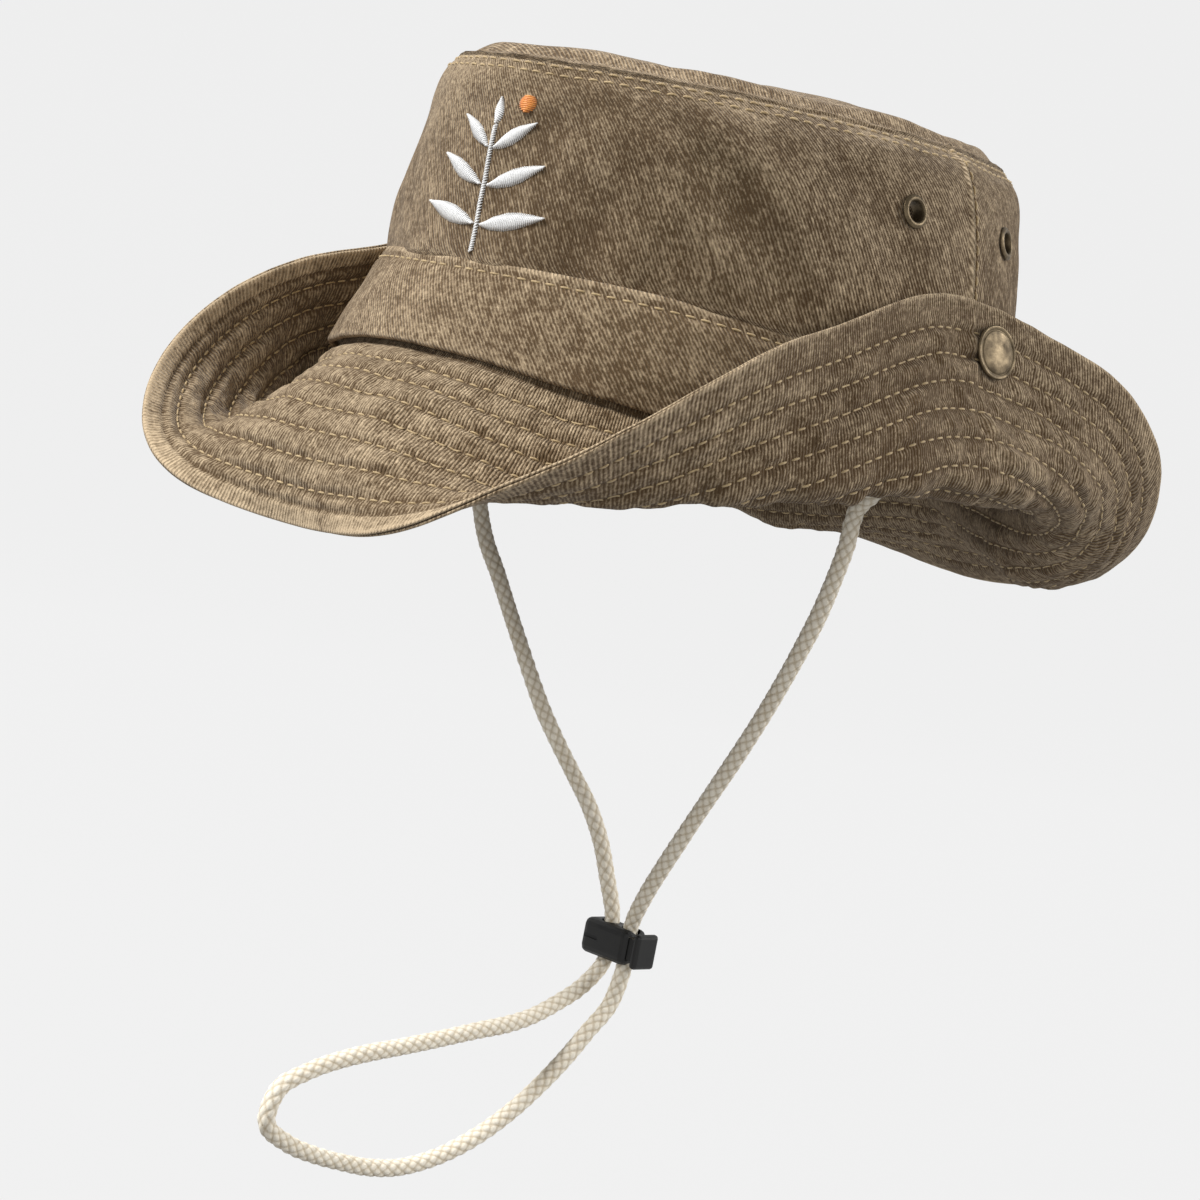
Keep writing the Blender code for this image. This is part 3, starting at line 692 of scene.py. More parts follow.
def cord_routes():
    """The cord's three runs, as in the CAD."""
    _, y, z = LOCK
    hole, stub = LOCK_HOLE, 7.0 * MM
    tab = (0.0775, -0.0080, -0.0065)
    top, bottom = (tab[0], tab[1], tab[2] - stub), (hole, y, z + stub)
    left = [
        top,
        (0.0712, -0.0061, -0.0180),
        (0.0682, -0.0043, -0.0300),
        (0.0622, -0.0016, -0.0470),
        (0.0556, 0.0005, -0.0610),
        (0.0464, 0.0032, -0.0780),
        (0.0368, 0.0056, -0.0940),
        (0.0246, 0.0086, -0.1130),
        (0.0165, 0.0106, -0.1260),
        (0.0092, 0.0125, -0.1380),
        bottom,
    ]
    right = [
        top,
        (0.0740, -0.0050, -0.0220),
        (0.0700, -0.0016, -0.0470),
        (0.0605, 0.0008, -0.0630),
        (0.0494, 0.0035, -0.0805),
        (0.0383, 0.0061, -0.0970),
        (0.0275, 0.0080, -0.1090),
        (0.0172, 0.0096, -0.1195),
        (0.0106, 0.0112, -0.1297),
        (0.0066, 0.0129, -0.1405),
        bottom,
    ]
    loop = [
        (-hole, y, z - stub),
        (-hole, y - 0.0012, z - 0.0105),
        (-0.0040, 0.0060, -0.1702),
        (-0.0030, -0.0047, -0.1747),
        (-0.0020, -0.0175, -0.1783),
        (-0.0010, -0.0350, -0.1802),
        (0.0000, -0.0575, -0.1827),
        (0.0010, -0.0794, -0.1847),
        (0.0015, -0.0945, -0.1877),
        (0.0015, -0.1035, -0.1914),
        (0.0015, -0.1076, -0.1965),
        (0.0015, -0.1060, -0.2020),
        (0.0015, -0.0965, -0.2080),
        (0.0015, -0.0834, -0.2122),
        (0.0015, -0.0670, -0.2158),
        (0.0020, -0.0535, -0.2160),
        (0.0025, -0.0396, -0.2127),
        (0.0030, -0.0270, -0.2070),
        (0.0035, -0.0165, -0.2000),
        (0.0040, -0.0055, -0.1905),
        (0.0045, 0.0030, -0.1810),
        (hole, 0.0110, -0.1735),
        (hole, y - 0.0010, z - 0.0110),
        (hole, y, z - stub),
    ]
    mirror = np.array((-1.0, 1.0, 1.0))
    meet = np.array((hole, y, z + 0.15 * MM))
    drop = np.array((0, 0, -0.3 * MM))
    spacing = 10.5 * MM
    runs = {
        "chin_cord_left": [tab, *route(left, spacing), meet],
        "chin_cord_right": [mirror * tab, *route(mirror * np.array(right), spacing), mirror * meet],
        "chin_cord_loop": [mirror * meet + drop, *route(loop, spacing), meet + drop],
    }
    return {name: np.array(points, float) for name, points in runs.items()}


def braid(name, points):
    """A round braid along a route: strands cross two ways, each over and then under."""
    around, carriers, lay = 44, 5, 18.0 * MM
    line = route(points, 0.32 * MM)
    tangent = unit(np.gradient(line, axis=0))
    side = np.empty_like(line)
    side[0] = unit(np.cross(tangent[0], (0.31, 0.95, 0.05)))
    for i in range(1, len(line)):
        carried = side[i - 1] - tangent[i] * (side[i - 1] @ tangent[i])
        side[i] = carried / np.linalg.norm(carried)
    other = np.cross(tangent, side)
    place = run_lengths(line)[:, None]
    angle = 2 * np.pi * np.arange(around)[None, :] / around
    turns = angle / (2 * np.pi)
    wander = 0.10 * ripple(place / (9 * MM), 0, 5)
    p = carriers * (turns + place / lay) + wander
    q = carriers * (turns - place / lay) + wander
    across = np.abs(np.sin(np.pi * p))
    against = np.abs(np.sin(np.pi * q))
    first_over = (np.floor(p) + np.floor(q)) % 2 == 0
    rise = np.where(first_over, across**0.8 * against**0.4, against**0.8 * across**0.4)
    swell = 1 + 0.035 * ripple(place / (17 * MM), 0, 11)
    gripped = 1 - 0.07 * hump(np.linalg.norm(line - LOCK, axis=1, keepdims=True) / (14 * MM))
    radius = CORD_RADIUS * (swell * gripped) * (0.86 + 0.17 * rise)
    ring = np.cos(angle)[..., None] * side[:, None] + np.sin(angle)[..., None] * other[:, None]
    tube = line[:, None] + radius[..., None] * ring
    cloth = xyz(turns * 2 * np.pi * CORD_RADIUS, place, 0)
    # The strands' rise goes to the material as painted shade between them
    return loop_shell(name, tube, COTTON, cloth, rise, closed=False), line


def build_cords():
    """The cord's runs, as braids along their routes."""
    for name, points in cord_routes().items():
        made, line = braid(f"braided_{name}", points)
        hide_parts(name)
        if name.endswith("loop"):
            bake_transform(made)
        else:
            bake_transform(made)


build_cords()


# ---------------------------------------------------------------- brim


def row_distance(s):
    """Distance from the nearest row of stitches."""
    return np.min(np.abs(np.asarray(s)[..., None] - ROW_PLACES), -1)


def brim_waves(phi, s):
    """Puckers of the stitched brim, the same for both faces."""
    seam = np.abs(np.abs(signed(phi)) - BRIM_SEAM) * BRIM_RADIUS
    between = smooth(row_distance(s) / (0.38 * ROW_SPACING))
    lively = (0.75 + 0.65 * np.sin(phi) ** 2) * (1 - 0.75 * smooth((s - 0.044) / 0.014))
    wave = 0.55 * MM * around_noise(phi, s / (26 * MM), 26, 3)
    wave += 0.85 * MM * lively * around_noise(phi + s * 2.0, s / (10 * MM), 70, 4)
    bubbles = around_noise(phi + s * 1.2, s / (ROW_SPACING * 0.9), 170, 5)
    wave += 0.90 * MM * lively * between * bubbles
    wave += 0.22 * MM * lively * around_noise(phi - s * 1.5, s / (3 * MM), 256, 7)
    wave += 0.35 * MM * around_noise(phi, 0.5, 17, 6) * smooth((s - 0.035) / 0.027)
    wave -= 0.35 * MM * hump(seam / (1.4 * MM))
    return wave * smooth(s / (6 * MM))


def brim_face(phi, s, side):
    """Points of the brim's upper (1) or under (-1) face, with its channels and puckers."""
    phi, s = arrays(phi, s)
    quilt = smooth(row_distance(s) / (2.1 * MM))
    fullness = 0.12 * MM * around_noise(phi, s / (5 * MM), 150, 9 + side)
    hem = hump((s - HEM) / (1.0 * MM)) * (0.5 + 0.5 * side)
    thick = 0.42 * MM + (0.70 * MM + fullness) * quilt - 0.55 * MM * hem
    return brim_at(phi, s, side * thick + brim_waves(phi, s))


def brim_quarter(name, low, high):
    """A quarter of the brim: both plies, the rolled edge and the groove between the plies."""
    root_radius, middle_radius, cloth_radius = 0.09, 0.118, 0.128
    columns = round(abs(high - low) * middle_radius / (0.90 * MM))
    step = (high - low) / columns
    phi = (low + step * np.arange(-1, columns + 2))[:, None]
    inside = np.linspace(-0.2 * MM, BRIM_WIDTH - 1.2 * MM, 86)
    roll = np.array((
        (-0.75, 1.12), (-0.35, 1.10), (0.0, 0.98), (0.22, 0.68), (0.20, 0.34), (-0.05, 0.14),
        (-0.75, 0.02), (-0.05, -0.12), (0.20, -0.34), (0.22, -0.68), (0.0, -0.98), (-0.35, -1.10),
        (-0.75, -1.12),
    )) * MM
    rim = BRIM_WIDTH + roll[:, 0]
    loops = np.concatenate([
        brim_face(phi, inside, 1),
        brim_at(phi, rim, roll[:, 1] + brim_waves(phi, rim)),
        brim_face(phi, inside[::-1], -1),
    ], 1)
    s = np.concatenate([inside, rim, inside[::-1]])
    raised = np.concatenate([np.ones(len(inside)), roll[:, 1] / (1.1 * MM), -np.ones(len(inside))])
    groove = np.concatenate([0 * inside, hump(roll[:, 1] / (0.3 * MM)), 0 * inside])
    normals = unit(np.cross(np.gradient(loops, axis=0), np.gradient(loops, axis=1)))
    behind = abs(low + high) / 2 > BRIM_SEAM
    turn = np.mod(phi, 2 * np.pi) - np.pi if behind else phi
    beneath = raised < 0
    # The under face and the rear quarters lie elsewhere on the same cloth
    cloth = xyz(cloth_radius * turn, s + 0.09 * beneath, 0.2 * behind)
    worn = 0.5 + 0.5 * around_noise(phi, s / (8 * MM), 120, 12)
    worn_edge_and_hem_shade = smooth((s - BRIM_WIDTH + 1.5 * MM) / (1.0 * MM)) * (0.45 + 0.35 * worn)
    worn_edge_and_hem_shade = worn_edge_and_hem_shade + smooth((s - HEM) / (0.8 * MM)) * (0.34 + 0.30 * worn) * ~beneath
    # Painted shade in the sunken hem line of the upper face
    worn_edge_and_hem_shade = worn_edge_and_hem_shade - 0.45 * hump((s - HEM) / (1.1 * MM)) * ~beneath
    # Painted shadow on the flaps near their front, stronger on the under faces
    shaded = (0.12 + 0.16 * beneath) * hump((np.abs(phi) - 1.30) / 0.60)
    ridges = smooth(row_distance(s) / (2.4 * MM)) * 0.26 * worn
    # Painted shade in the channels along the rows of stitches and in the groove between the plies,
    # plus the flaps' painted shadow
    dark = -0.42 * hump(row_distance(s) / (1.5 * MM)) - 1.3 * groove - shaded
    front = 0.20 * hump(phi / 1.25) * (raised > 0)
    seam_wear = 0.45 * hump(np.abs(np.abs(phi) - BRIM_SEAM) * (root_radius + s) / (1.3 * MM))
    wear_and_painted_light = worn_edge_and_hem_shade + ridges + dark + front + seam_wear

    # The first and last stations only gave their neighbours' normals, so quarters meet unseen
    loops, normals, cloth, wear_and_painted_light = (grid[1:-1] for grid in (loops, normals, cloth, wear_and_painted_light))
    faces = grid_faces(len(loops), len(s), False, True)
    mesh = bpy.data.meshes.new(name)
    mesh.from_pydata([tuple(p) for p in loops.reshape(-1, 3)], [], faces)
    mesh.update()
    normals = normals.reshape(-1, 3)
    sample = mesh.polygons[len(s) * 10 + 20]
    if np.dot(np.array(sample.normal), normals[sample.vertices[0]]) <= 0:
        normals = -normals
    mesh.shade_smooth()
    mesh.normals_split_custom_set_from_vertices([tuple(v) for v in normals])
    return finished(mesh, BRIM_TWILL, cloth, wear_and_painted_light)


def stitch_runs(points, ups):
    """Starts, middles and ends of stitches along a line of points, with the way up at each."""
    lengths = run_lengths(points)
    starts = np.arange(STITCH_GAP / 2, lengths[-1] - STITCH, STITCH + STITCH_GAP)
    spots = [read_along(starts + STITCH * t, lengths, points) for t in (0.0, 0.25, 0.5, 0.75, 1.0)]
    return np.stack(spots, 1), unit(read_along(starts + STITCH / 2, lengths, ups))


def thread_mesh(name, runs, radius, material, lift=0.35, sink=0.9):
    """Short threads: each run is (stations, way up), drawn thin into the cloth at both ends."""
    sides = 6
    stations = np.concatenate([r[0] for r in runs])
    ups = np.concatenate([r[1] for r in runs])
    count, places = stations.shape[:2]
    t = np.linspace(0, 1, places)
    arch = np.sin(np.pi * t) ** 0.5
    line = stations + ups[:, None] * (radius * (lift * arch - sink * (1 - arch)))[None, :, None]
    along = unit(stations[:, -1] - stations[:, 0])
    side = unit(np.cross(along, ups))
    above = np.cross(side, along)
    thick = radius * (0.55 + 0.45 * arch)
    angles = 2 * np.pi * np.arange(sides) / sides
    ring = np.cos(angles)[:, None] * side[:, None] + np.sin(angles)[:, None] * above[:, None]
    points = line[:, :, None] + thick[None, :, None, None] * ring[:, None]
    one = grid_faces(places, sides, False, True)
    one += [list(range(sides)), list(range((places - 1) * sides, places * sides))]
    size = places * sides
    faces = [[v + k * size for v in face] for k in range(count) for face in one]
    return new_object(name, points.reshape(-1, 3), faces, material)


def brim_stitches(name, low, high):
    """The rows of stitches on a quarter of the brim, on both its faces."""
    runs = []
    phi = np.linspace(low, high, 900)
    for side in (1, -1):
        for s in ROW_PLACES:
            if s < 4 * MM and side > 0:
                continue
            points = brim_face(phi, s, side)
            inner = brim_face(phi, s - 1.5 * MM, side)
            outer = brim_face(phi, s + 1.5 * MM, side)
            ups = unit(np.cross(outer - inner, np.gradient(points, axis=0))) * side
            middle = brim_at(phi, s, 0.0)
            ups *= np.sign(np.sum(ups * (points - middle), -1, keepdims=True))
            runs.append(stitch_runs(points, ups))
    return thread_mesh(name, runs, 0.33 * MM, OCHRE)


def build_brim():
    """Four quarters of the brim, each with its rows of stitches."""
    for side, sign in SIDES:
        for half, low, high, turn, start, end in (
            ("front", 0.0, BRIM_SEAM, 0.10, 76.0 * MM, 112.0 * MM),
            ("back", BRIM_SEAM, math.pi, -0.15, 73.55 * MM, 109.55 * MM),
        ):
            low, high = sign * low, sign * high
            cloth = brim_quarter(f"brim_cloth_{half}_{side}", low, high)
            rows = brim_stitches(f"brim_stitches_{half}_{side}", low, high)
            plane = np.array((sign * 1.0, turn, 1.2))
            square = plane @ plane
            for piece in (cloth, rows):
                ends = (tuple(plane * reach / square) for reach in (start, end))
                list(ends)
                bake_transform(piece)
            layers = ("upper", "interlining", "under")
            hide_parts(*(f"brim_{layer}_{half}" for layer in layers))
            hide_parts(*(f"flap_{layer}_{side}" for layer in layers))


build_brim()


# ---------------------------------------------------------------- crown


def crown_folds(phi, level):
    """Soft folds of the crown's wall, in metres outwards."""
    turn = signed(phi)
    height = level * WALL_HEIGHT
    fold = 1.10 * MM * around_noise(phi + height * 4, height / (38 * MM), 13, 21)
    fold += 0.60 * MM * around_noise(phi - height * 9, height / (15 * MM), 33, 22)
    fold += 0.18 * MM * around_noise(phi + height * 6, height / (6 * MM), 90, 23)
    fold += 0.45 * MM * hump(level / 0.30) * around_noise(phi, height / (12 * MM), 46, 24)
    crease = around_noise(phi + height * 11, height / (40 * MM), 34, 25)
    near_side = hump((np.abs(turn) - math.radians(60)) / math.radians(46))
    fold += 3.3 * MM * near_side * crease * hump((level - 0.40) / 0.55)
    gathers = around_noise(phi, height / (9 * MM), 130, 26)
    fold += 0.42 * MM * hump((SEAM_LEVEL - level) / 0.14) * gathers
    fold *= 0.25 + 0.75 * smooth((SEAM_LEVEL + 0.01 - level) / 0.12)
    gap = (np.abs(turn) - CROWN_SEAM) * WALL_RADIUS
    fold -= 0.55 * MM * hump((gap - 1.2 * MM) / (0.8 * MM))
    fold += 0.80 * MM * hump(gap / (1.5 * MM))
    fold += 0.25 * MM * smooth(gap / (1.0 * MM)) * smooth((8.0 * MM - gap) / (1.6 * MM))
    fold += 0.35 * MM * hump((SEAM_LEVEL - level) / 0.02)
    return fold


def crown_face(phi, level, lift=0.0):
    """The crown wall's outer face; its lowest part goes straight down behind the band."""
    phi, level = arrays(phi, level)
    below = np.minimum(level, 0) * 16.7 * MM
    return off_crown(phi, level, WALL / 2 + crown_folds(phi, level) + lift) + UP * below[..., None]


def tip_at(phi, ratio, lift):
    """The oval tip, puffed a little inside its seam, for ratio from 0 in its middle to 1."""
    phi, ratio = arrays(phi, ratio)
    width, length, height = CROWN_WIDTHS[-1], CROWN_LENGTHS[-1], CROWN_HEIGHTS[-1]
    wave = 0.9 * MM * ripple(ratio * np.sin(phi) * 2.4 + 9, ratio * np.cos(phi) * 3.0 + 9, 31)
    wave += 0.35 * MM * ripple(ratio * np.sin(phi) * 7 + 9, ratio * np.cos(phi) * 9 + 9, 32)
    wave += 0.18 * MM * around_noise(phi, 0, 110, 33) * hump((ratio - 0.96) / 0.08)
    inside = smooth((1 - ratio) / 0.10)
    rise = TIP_PUFF * (1 - ratio * ratio) + 3.2 * MM * inside + wave * inside
    x = (width + 0.2 * MM) * ratio * np.sin(phi)
    y = -(length + 0.2 * MM) * ratio * np.cos(phi) - CROWN_LEAN
    return xyz(x, y, height + rise + lift)


def wall_cloth(phi, level):
    """Flat cloth coordinates of the wall, one panel in front and one behind."""
    turn = signed(phi)
    behind = np.abs(turn) > CROWN_SEAM
    across = np.where(behind, np.mod(phi, 2 * np.pi) - np.pi, turn) * WALL_RADIUS
    return xyz(across, level * WALL_HEIGHT, 0.05 * behind)


def pierce(wall):
    """Cut the four eyelets' holes through the crown's wall."""
    radius, reach = 3.0 * MM, 6 * MM
    rod = [(0, -reach), (radius, -reach), (radius, reach), (0, reach)]
    cutters = []
    for sign in (1, -1):
        for angle, level in EYELETS.values():
            phi = sign * math.radians(angle)
            centre, axis = crown_at(phi, level), crown_normal(phi, level)
            cutter = lathe("cutter", rod, centre, axis, CROWN_TWILL, 40)
            modifier = wall.modifiers.new("hole", "BOOLEAN")
            modifier.operation = "DIFFERENCE"
            modifier.solver = "EXACT"
            modifier.object = cutter
            cutters.append(cutter)
    bpy.context.view_layer.update()
    shaped = wall.evaluated_get(bpy.context.evaluated_depsgraph_get())
    mesh = bpy.data.meshes.new_from_object(shaped)
    wall.modifiers.clear()
    wall.data = mesh
    for cutter in cutters:
        bpy.data.objects.remove(cutter)


def build_wall():
    """The crown's wall: one closed shell with raised side seams and the eyelets' holes."""
    phi = np.linspace(0, 2 * np.pi, 520, endpoint=False)
    seams = CROWN_SEAM * np.array((1, -1))
    fine = seams[:, None] + np.linspace(-0.035, 0.10, 30)[None, :] * np.sign(seams)[:, None]
    phi = np.unique(np.concatenate([phi, np.mod(fine.ravel(), 2 * np.pi)]))[:, None]
    levels = np.linspace(-0.08, SEAM_LEVEL, 72)[None, :]
    inner = crown_face(phi, levels, lift=-WALL)
    loops = np.concatenate([crown_face(phi, levels), inner[:, ::-1]], 1)
    cloth = wall_cloth(phi, levels)
    turn = signed(phi)
    gap = (np.abs(turn) - CROWN_SEAM) * WALL_RADIUS
    patchy = 0.6 + 0.4 * around_noise(phi, levels * 9, 150, 27)
    wear_and_painted_light = 1.15 * hump(gap / (1.7 * MM)) * patchy
    # Painted shade in the dip beside each side seam
    wear_and_painted_light = wear_and_painted_light - 0.35 * hump((gap - 1.6 * MM) / (0.7 * MM))
    wear_and_painted_light = wear_and_painted_light + 0.95 * hump((SEAM_LEVEL - levels) / 0.030) * patchy
    wear_and_painted_light = wear_and_painted_light + 0.10 * hump((levels - 0.86) / 0.12)
    # Painted light and shade on the folds: paler where they bulge, darker in their hollows
    wear_and_painted_light = wear_and_painted_light + 0.12 * crown_folds(phi, levels) / MM
    # Paler upper crown on the wearer's right of the front: partly faded cloth, partly painted light
    # where the key light falls
    wear_and_painted_light = wear_and_painted_light + 0.60 * hump((turn + 0.50) / 0.75) * smooth((levels - 0.25) / 0.6)
    cloth, wear_and_painted_light = (np.concatenate([grid, grid[:, ::-1]], 1) for grid in (cloth, wear_and_painted_light))
    wall = loop_shell("crown_wall", loops, CROWN_TWILL, cloth, wear_and_painted_light)
    pierce(wall)
    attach(wall, "hat")
    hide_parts("crown_front", "crown_back")


def build_tip():
    """The tip panel: its top, the shoulder over the wall's edge, and a hidden tuck behind it."""
    phi = np.linspace(0, 2 * np.pi, 420, endpoint=False)[:, None]
    shoulder = np.linspace(SEAM_LEVEL + 0.004, 0.99, 9)
    inwards = np.concatenate([np.linspace(0, 0.86, 36), np.linspace(0.88, 0.975, 9)])
    above = shoulder - SEAM_LEVEL
    puff = crown_folds(phi, SEAM_LEVEL) - 0.25 * MM + 0.5 * MM * smooth(above / 0.045)
    pucker = 0.35 * MM * around_noise(phi, shoulder * 30, 110, 33) * smooth(above / 0.02)
    side = off_crown(phi, shoulder, WALL / 2 + puff + pucker)
    hidden = SEAM_LEVEL - 0.012
    tuck = off_crown(phi, hidden, crown_folds(phi, hidden) - WALL / 2 - 0.15 * MM)
    top = tip_at(phi, inwards, WALL / 2)
    bottom = tip_at(phi, inwards[::-1], -WALL / 2)
    loops = np.concatenate([top, side[:, ::-1], tuck, bottom], 1)

    beyond = 1.02 + 0.10 * (0.99 - shoulder[::-1]) / 0.06
    ratio = np.concatenate([inwards, beyond, beyond[-1:], inwards[::-1]])
    cloth = xyz(0.063 * ratio * np.sin(phi), WALL_RADIUS * ratio * np.cos(phi), 0.1)
    patchy = 0.6 + 0.4 * around_noise(phi, ratio * 9, 150, 28)
    wear_and_painted_light = 0.20 + 0.75 * smooth((ratio - 1.085) / 0.03) * patchy
    tip = loop_shell("crown_tip", loops, TIP_TWILL, cloth, wear_and_painted_light)
    bm = bmesh.new()
    bm.from_mesh(tip.data)
    bmesh.ops.remove_doubles(bm, verts=bm.verts, dist=1e-6)
    bm.to_mesh(tip.data)
    bm.free()
    tip.data.shade_smooth()
    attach(tip, "hat")
    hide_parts("crown_top")


def band_section(phi, t):
    """The band's middle line from its rolled lower edge (0) to its top seam (1)."""
    phi, t = arrays(phi, t)
    foot = 1.9 * MM
    low = brim_at(phi, foot, 2.15 * MM + brim_waves(phi, foot))
    line = low + (band_top(phi) - low) * t[..., None]
    bulge = 0.9 * MM * np.sin(np.pi * t)
    fold = 0.55 * MM * around_noise(phi + t * 0.12, t * 1.6, 24, 41)
    fold += 0.30 * MM * around_noise(phi - t * 0.2, t * 3.5, 62, 42)
    fold += 0.35 * MM * around_noise(phi, 0, 36, 43) * hump(t / 0.35)
    fold *= smooth((1.05 - t) / 0.2)
    return line + across_oval(phi) * (bulge + fold)[..., None]


def band_face(phi, t):
    """The band's outer face, dipped along its stitching."""
    phi, t = arrays(phi, t)
    dip = -0.35 * MM * hump((t - BAND_STITCHING) / 0.055)
    out = 1.35 * MM - 0.25 * MM * t + dip
    return band_section(phi, t) + across_oval(phi) * out[..., None]


def build_band():
    """The lower band, rolled over at its foot and its top."""
    phi = np.linspace(0, 2 * np.pi, 560, endpoint=False)[:, None]
    foot = 0.04
    t = np.linspace(1.0, foot, 52)
    wall = across_oval(phi)

    def rolled(level, steps):
        """An edge rolled over; steps are (outwards, upwards) in millimetres."""
        edge = band_section(phi, level)
        return [edge + wall * out * MM + UP * lift * MM for out, lift in steps]

    loops = np.concatenate([
        band_face(phi, t),
        *rolled(foot, ((1.25, -0.55), (0.8, -1.05), (0.1, -1.15), (-0.6, -0.8))),
        band_section(phi, t[::-1]) - wall * 0.9 * MM,
        *rolled(1.0, ((-0.7, 0.35), (0.1, 0.62), (0.8, 0.42))),
    ], 1)
    place = np.concatenate([t, [0.02, 0.0, 0.0, 0.0], t[::-1], [1.0, 1.02, 1.01]])
    cloth = wall_cloth(phi, place * 0.46) + np.array((0.3, 0, 0))
    patchy = 0.55 + 0.45 * around_noise(phi, place * 7, 150, 44)
    wear_and_painted_light = 0.85 * smooth((place - 0.955) / 0.03) * patchy
    wear_and_painted_light = wear_and_painted_light + 0.28 * hump((place - 0.02) / 0.10) * patchy
    # Painted shade in the band's dip along its stitching
    wear_and_painted_light = wear_and_painted_light - 0.12 * hump((place - BAND_STITCHING) / 0.03)
    wear_and_painted_light = wear_and_painted_light + 0.16 * hump(phi / 0.9) + 0.16 * hump((phi - 2 * np.pi) / 0.9)
    band = loop_shell("band_cloth", loops, BAND_TWILL, cloth, wear_and_painted_light)
    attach(band, "hat")
    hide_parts("band_front", "band_back")


def build_crown_stitches():
    """Rows round the band's top, below the tip's seam and behind each side seam."""
    phi = np.linspace(0, 2 * np.pi, 3000)
    levels = np.linspace(0.02, 0.92, 240)
    beside = CROWN_SEAM + 2.0 * MM / WALL_RADIUS
    runs = [stitch_runs(band_face(phi, BAND_STITCHING), across_oval(phi))]
    for row in ((phi, 0.845), (phi, 0.915), (beside, levels), (-beside, levels)):
        runs.append(stitch_runs(crown_face(*row), crown_normal(*arrays(*row))))
    made = thread_mesh("crown_stitches", runs, 0.34 * MM, OCHRE)
    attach(made, "hat")


build_wall()
build_tip()
build_band()
build_crown_stitches()


# ---------------------------------------------------------------- inside pieces


def along_band(phi, level, offset):
    """The inside of the band, gently waved."""
    phi, level = arrays(phi, level)
    wave = 0.25 * MM * around_noise(phi, level * 3, 70, 51)
    return band_at(phi, level) + across_oval(phi) * (offset - 2.55 * MM + wave)[..., None]


def along_crown(phi, level, offset):
    """The inside of the crown's wall, gently waved."""
    phi, level = arrays(phi, level)
    wave = 0.12 * MM * around_noise(phi, level * 9, 90, 52)
    return off_crown(phi, level, offset - 1.25 * MM + wave + crown_folds(phi, level))


def build_tape(name, node, face, phi, levels, thick, closed=True):
    """A tape against the inside of the hat; face(phi, level, offset) gives its points."""
    phi = phi[:, None]
    rounding = np.minimum(1, np.sin(np.pi * np.linspace(0.02, 0.98, len(levels))) * 3)
    outer = face(phi, levels, thick / 2 * rounding)
    inner = face(phi, levels[::-1], -thick / 2 * rounding)
    loops = np.concatenate([outer, inner], 1)
    place = np.concatenate([levels, levels[::-1]])
    made = loop_shell(name, loops, INSIDE_TAPE, xyz(phi * 0.085, place * 0.03, 0), None, closed)
    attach(made, "hat")
    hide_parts(node)


def build_tapes():
    """The sweatband and the tapes over the seams, with their stitches."""
    ring = np.linspace(0, 2 * np.pi, 300, endpoint=False)
    levels = np.linspace(0.0, 0.9, 26)
    build_tape("sweatband_tape", "sweatband", along_band, ring, levels, 0.7 * MM)
    levels = np.linspace(0.84, 0.93, 10)
    build_tape("tip_tape", "tip_seam_tape", along_crown, ring, levels, 0.6 * MM)
    levels = np.linspace(0.36, 0.80, 22)
    for side, sign in SIDES:
        angles = sign * np.radians(np.linspace(94.0, 103.0, 14))
        name, node = f"seam_tape_{side}", f"side_seam_tape_{side}"
        build_tape(name, node, along_crown, angles, levels, 0.6 * MM, closed=False)

    phi = np.linspace(0, 2 * np.pi, 2600)
    runs = []
    for level in (0.10, 0.84):
        runs.append(stitch_runs(along_band(phi, level, -0.42 * MM), -across_oval(phi)))
    level = 0.885
    points = along_crown(phi, level, -0.36 * MM)
    runs.append(stitch_runs(points, -crown_normal(*arrays(phi, level))))
    made = thread_mesh("inside_stitches", runs, 0.26 * MM, OCHRE)
    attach(made, "hat")


def build_label():
    """The blank woven label, curling towards its free edge."""
    low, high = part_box("care_label")
    x = np.linspace(low.x, high.x, 30)[:, None]
    z = np.linspace(low.z, high.z, 26)[None, :]
    middle = (low.y + high.y) / 2
    curl = 0.5 * MM * ripple(x / (9 * MM) + 5, z / (8 * MM), 55) * smooth((high.z - z) / (6 * MM))
    front, back = (xyz(x, middle + curl + side * 0.25 * MM, z) for side in (1, -1))
    loops = np.concatenate([front, back[:, ::-1]], 1)
    cloth = xyz(loops[..., 0], loops[..., 2], 0)
    label = loop_shell("blank_label", loops, LABEL, cloth, closed=False)
    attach(label, "hat")
    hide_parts("care_label")


def build_tabs():
    """The folded loops of tape that hold the cord's ends."""
    for side, _ in SIDES:
        low, high = (np.array(corner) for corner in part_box(f"cord_tab_{side}"))
        centre, half = (low + high) / 2, (high - low) / 2
        z = np.linspace(-1, 1, 30)[:, None]
        angle = np.linspace(0, 2 * np.pi, 40, endpoint=False)[None, :]
        pinch = 1 - 0.12 * hump((z + 0.25) / 0.3)
        cap = np.sqrt(np.clip(1 - np.abs(z) ** 10, 0.05, 1))
        across = np.sign(np.cos(angle)) * np.abs(np.cos(angle)) ** 0.6 * half[0] * pinch * cap
        along = np.sign(np.sin(angle)) * np.abs(np.sin(angle)) ** 0.35 * half[1] * cap
        loops = xyz(centre[0] + across, centre[1] + along, centre[2] + half[2] * z)
        cloth = xyz(along, half[2] * z, 0)
        tab = loop_shell(f"cord_tab_cloth_{side}", loops, INSIDE_TAPE, cloth, closed=False)
        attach(tab, "hat")
        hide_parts(f"cord_tab_{side}")


build_tapes()
build_label()
build_tabs()


# ---------------------------------------------------------------- metal and plastic pieces


# (radius, height) round each turned piece, in millimetres
EYELET_OUTLINE = (
    (2.75, -2.3), (3.3, -2.3), (3.3, 0.9), (4.45, 0.9),
    (4.4, 1.35), (3.6, 1.85), (2.9, 1.7), (2.65, 0.8),
)
CAP_OUTLINE = (
    (0, 3.35), (3.8, 3.3), (5.5, 3.1), (5.9, 2.85), (6.2, 3.05), (6.9, 3.2),
    (7.2, 2.8), (7.0, 2.2), (1.9, 2.0), (1.9, -1.3), (0, -1.3),
)


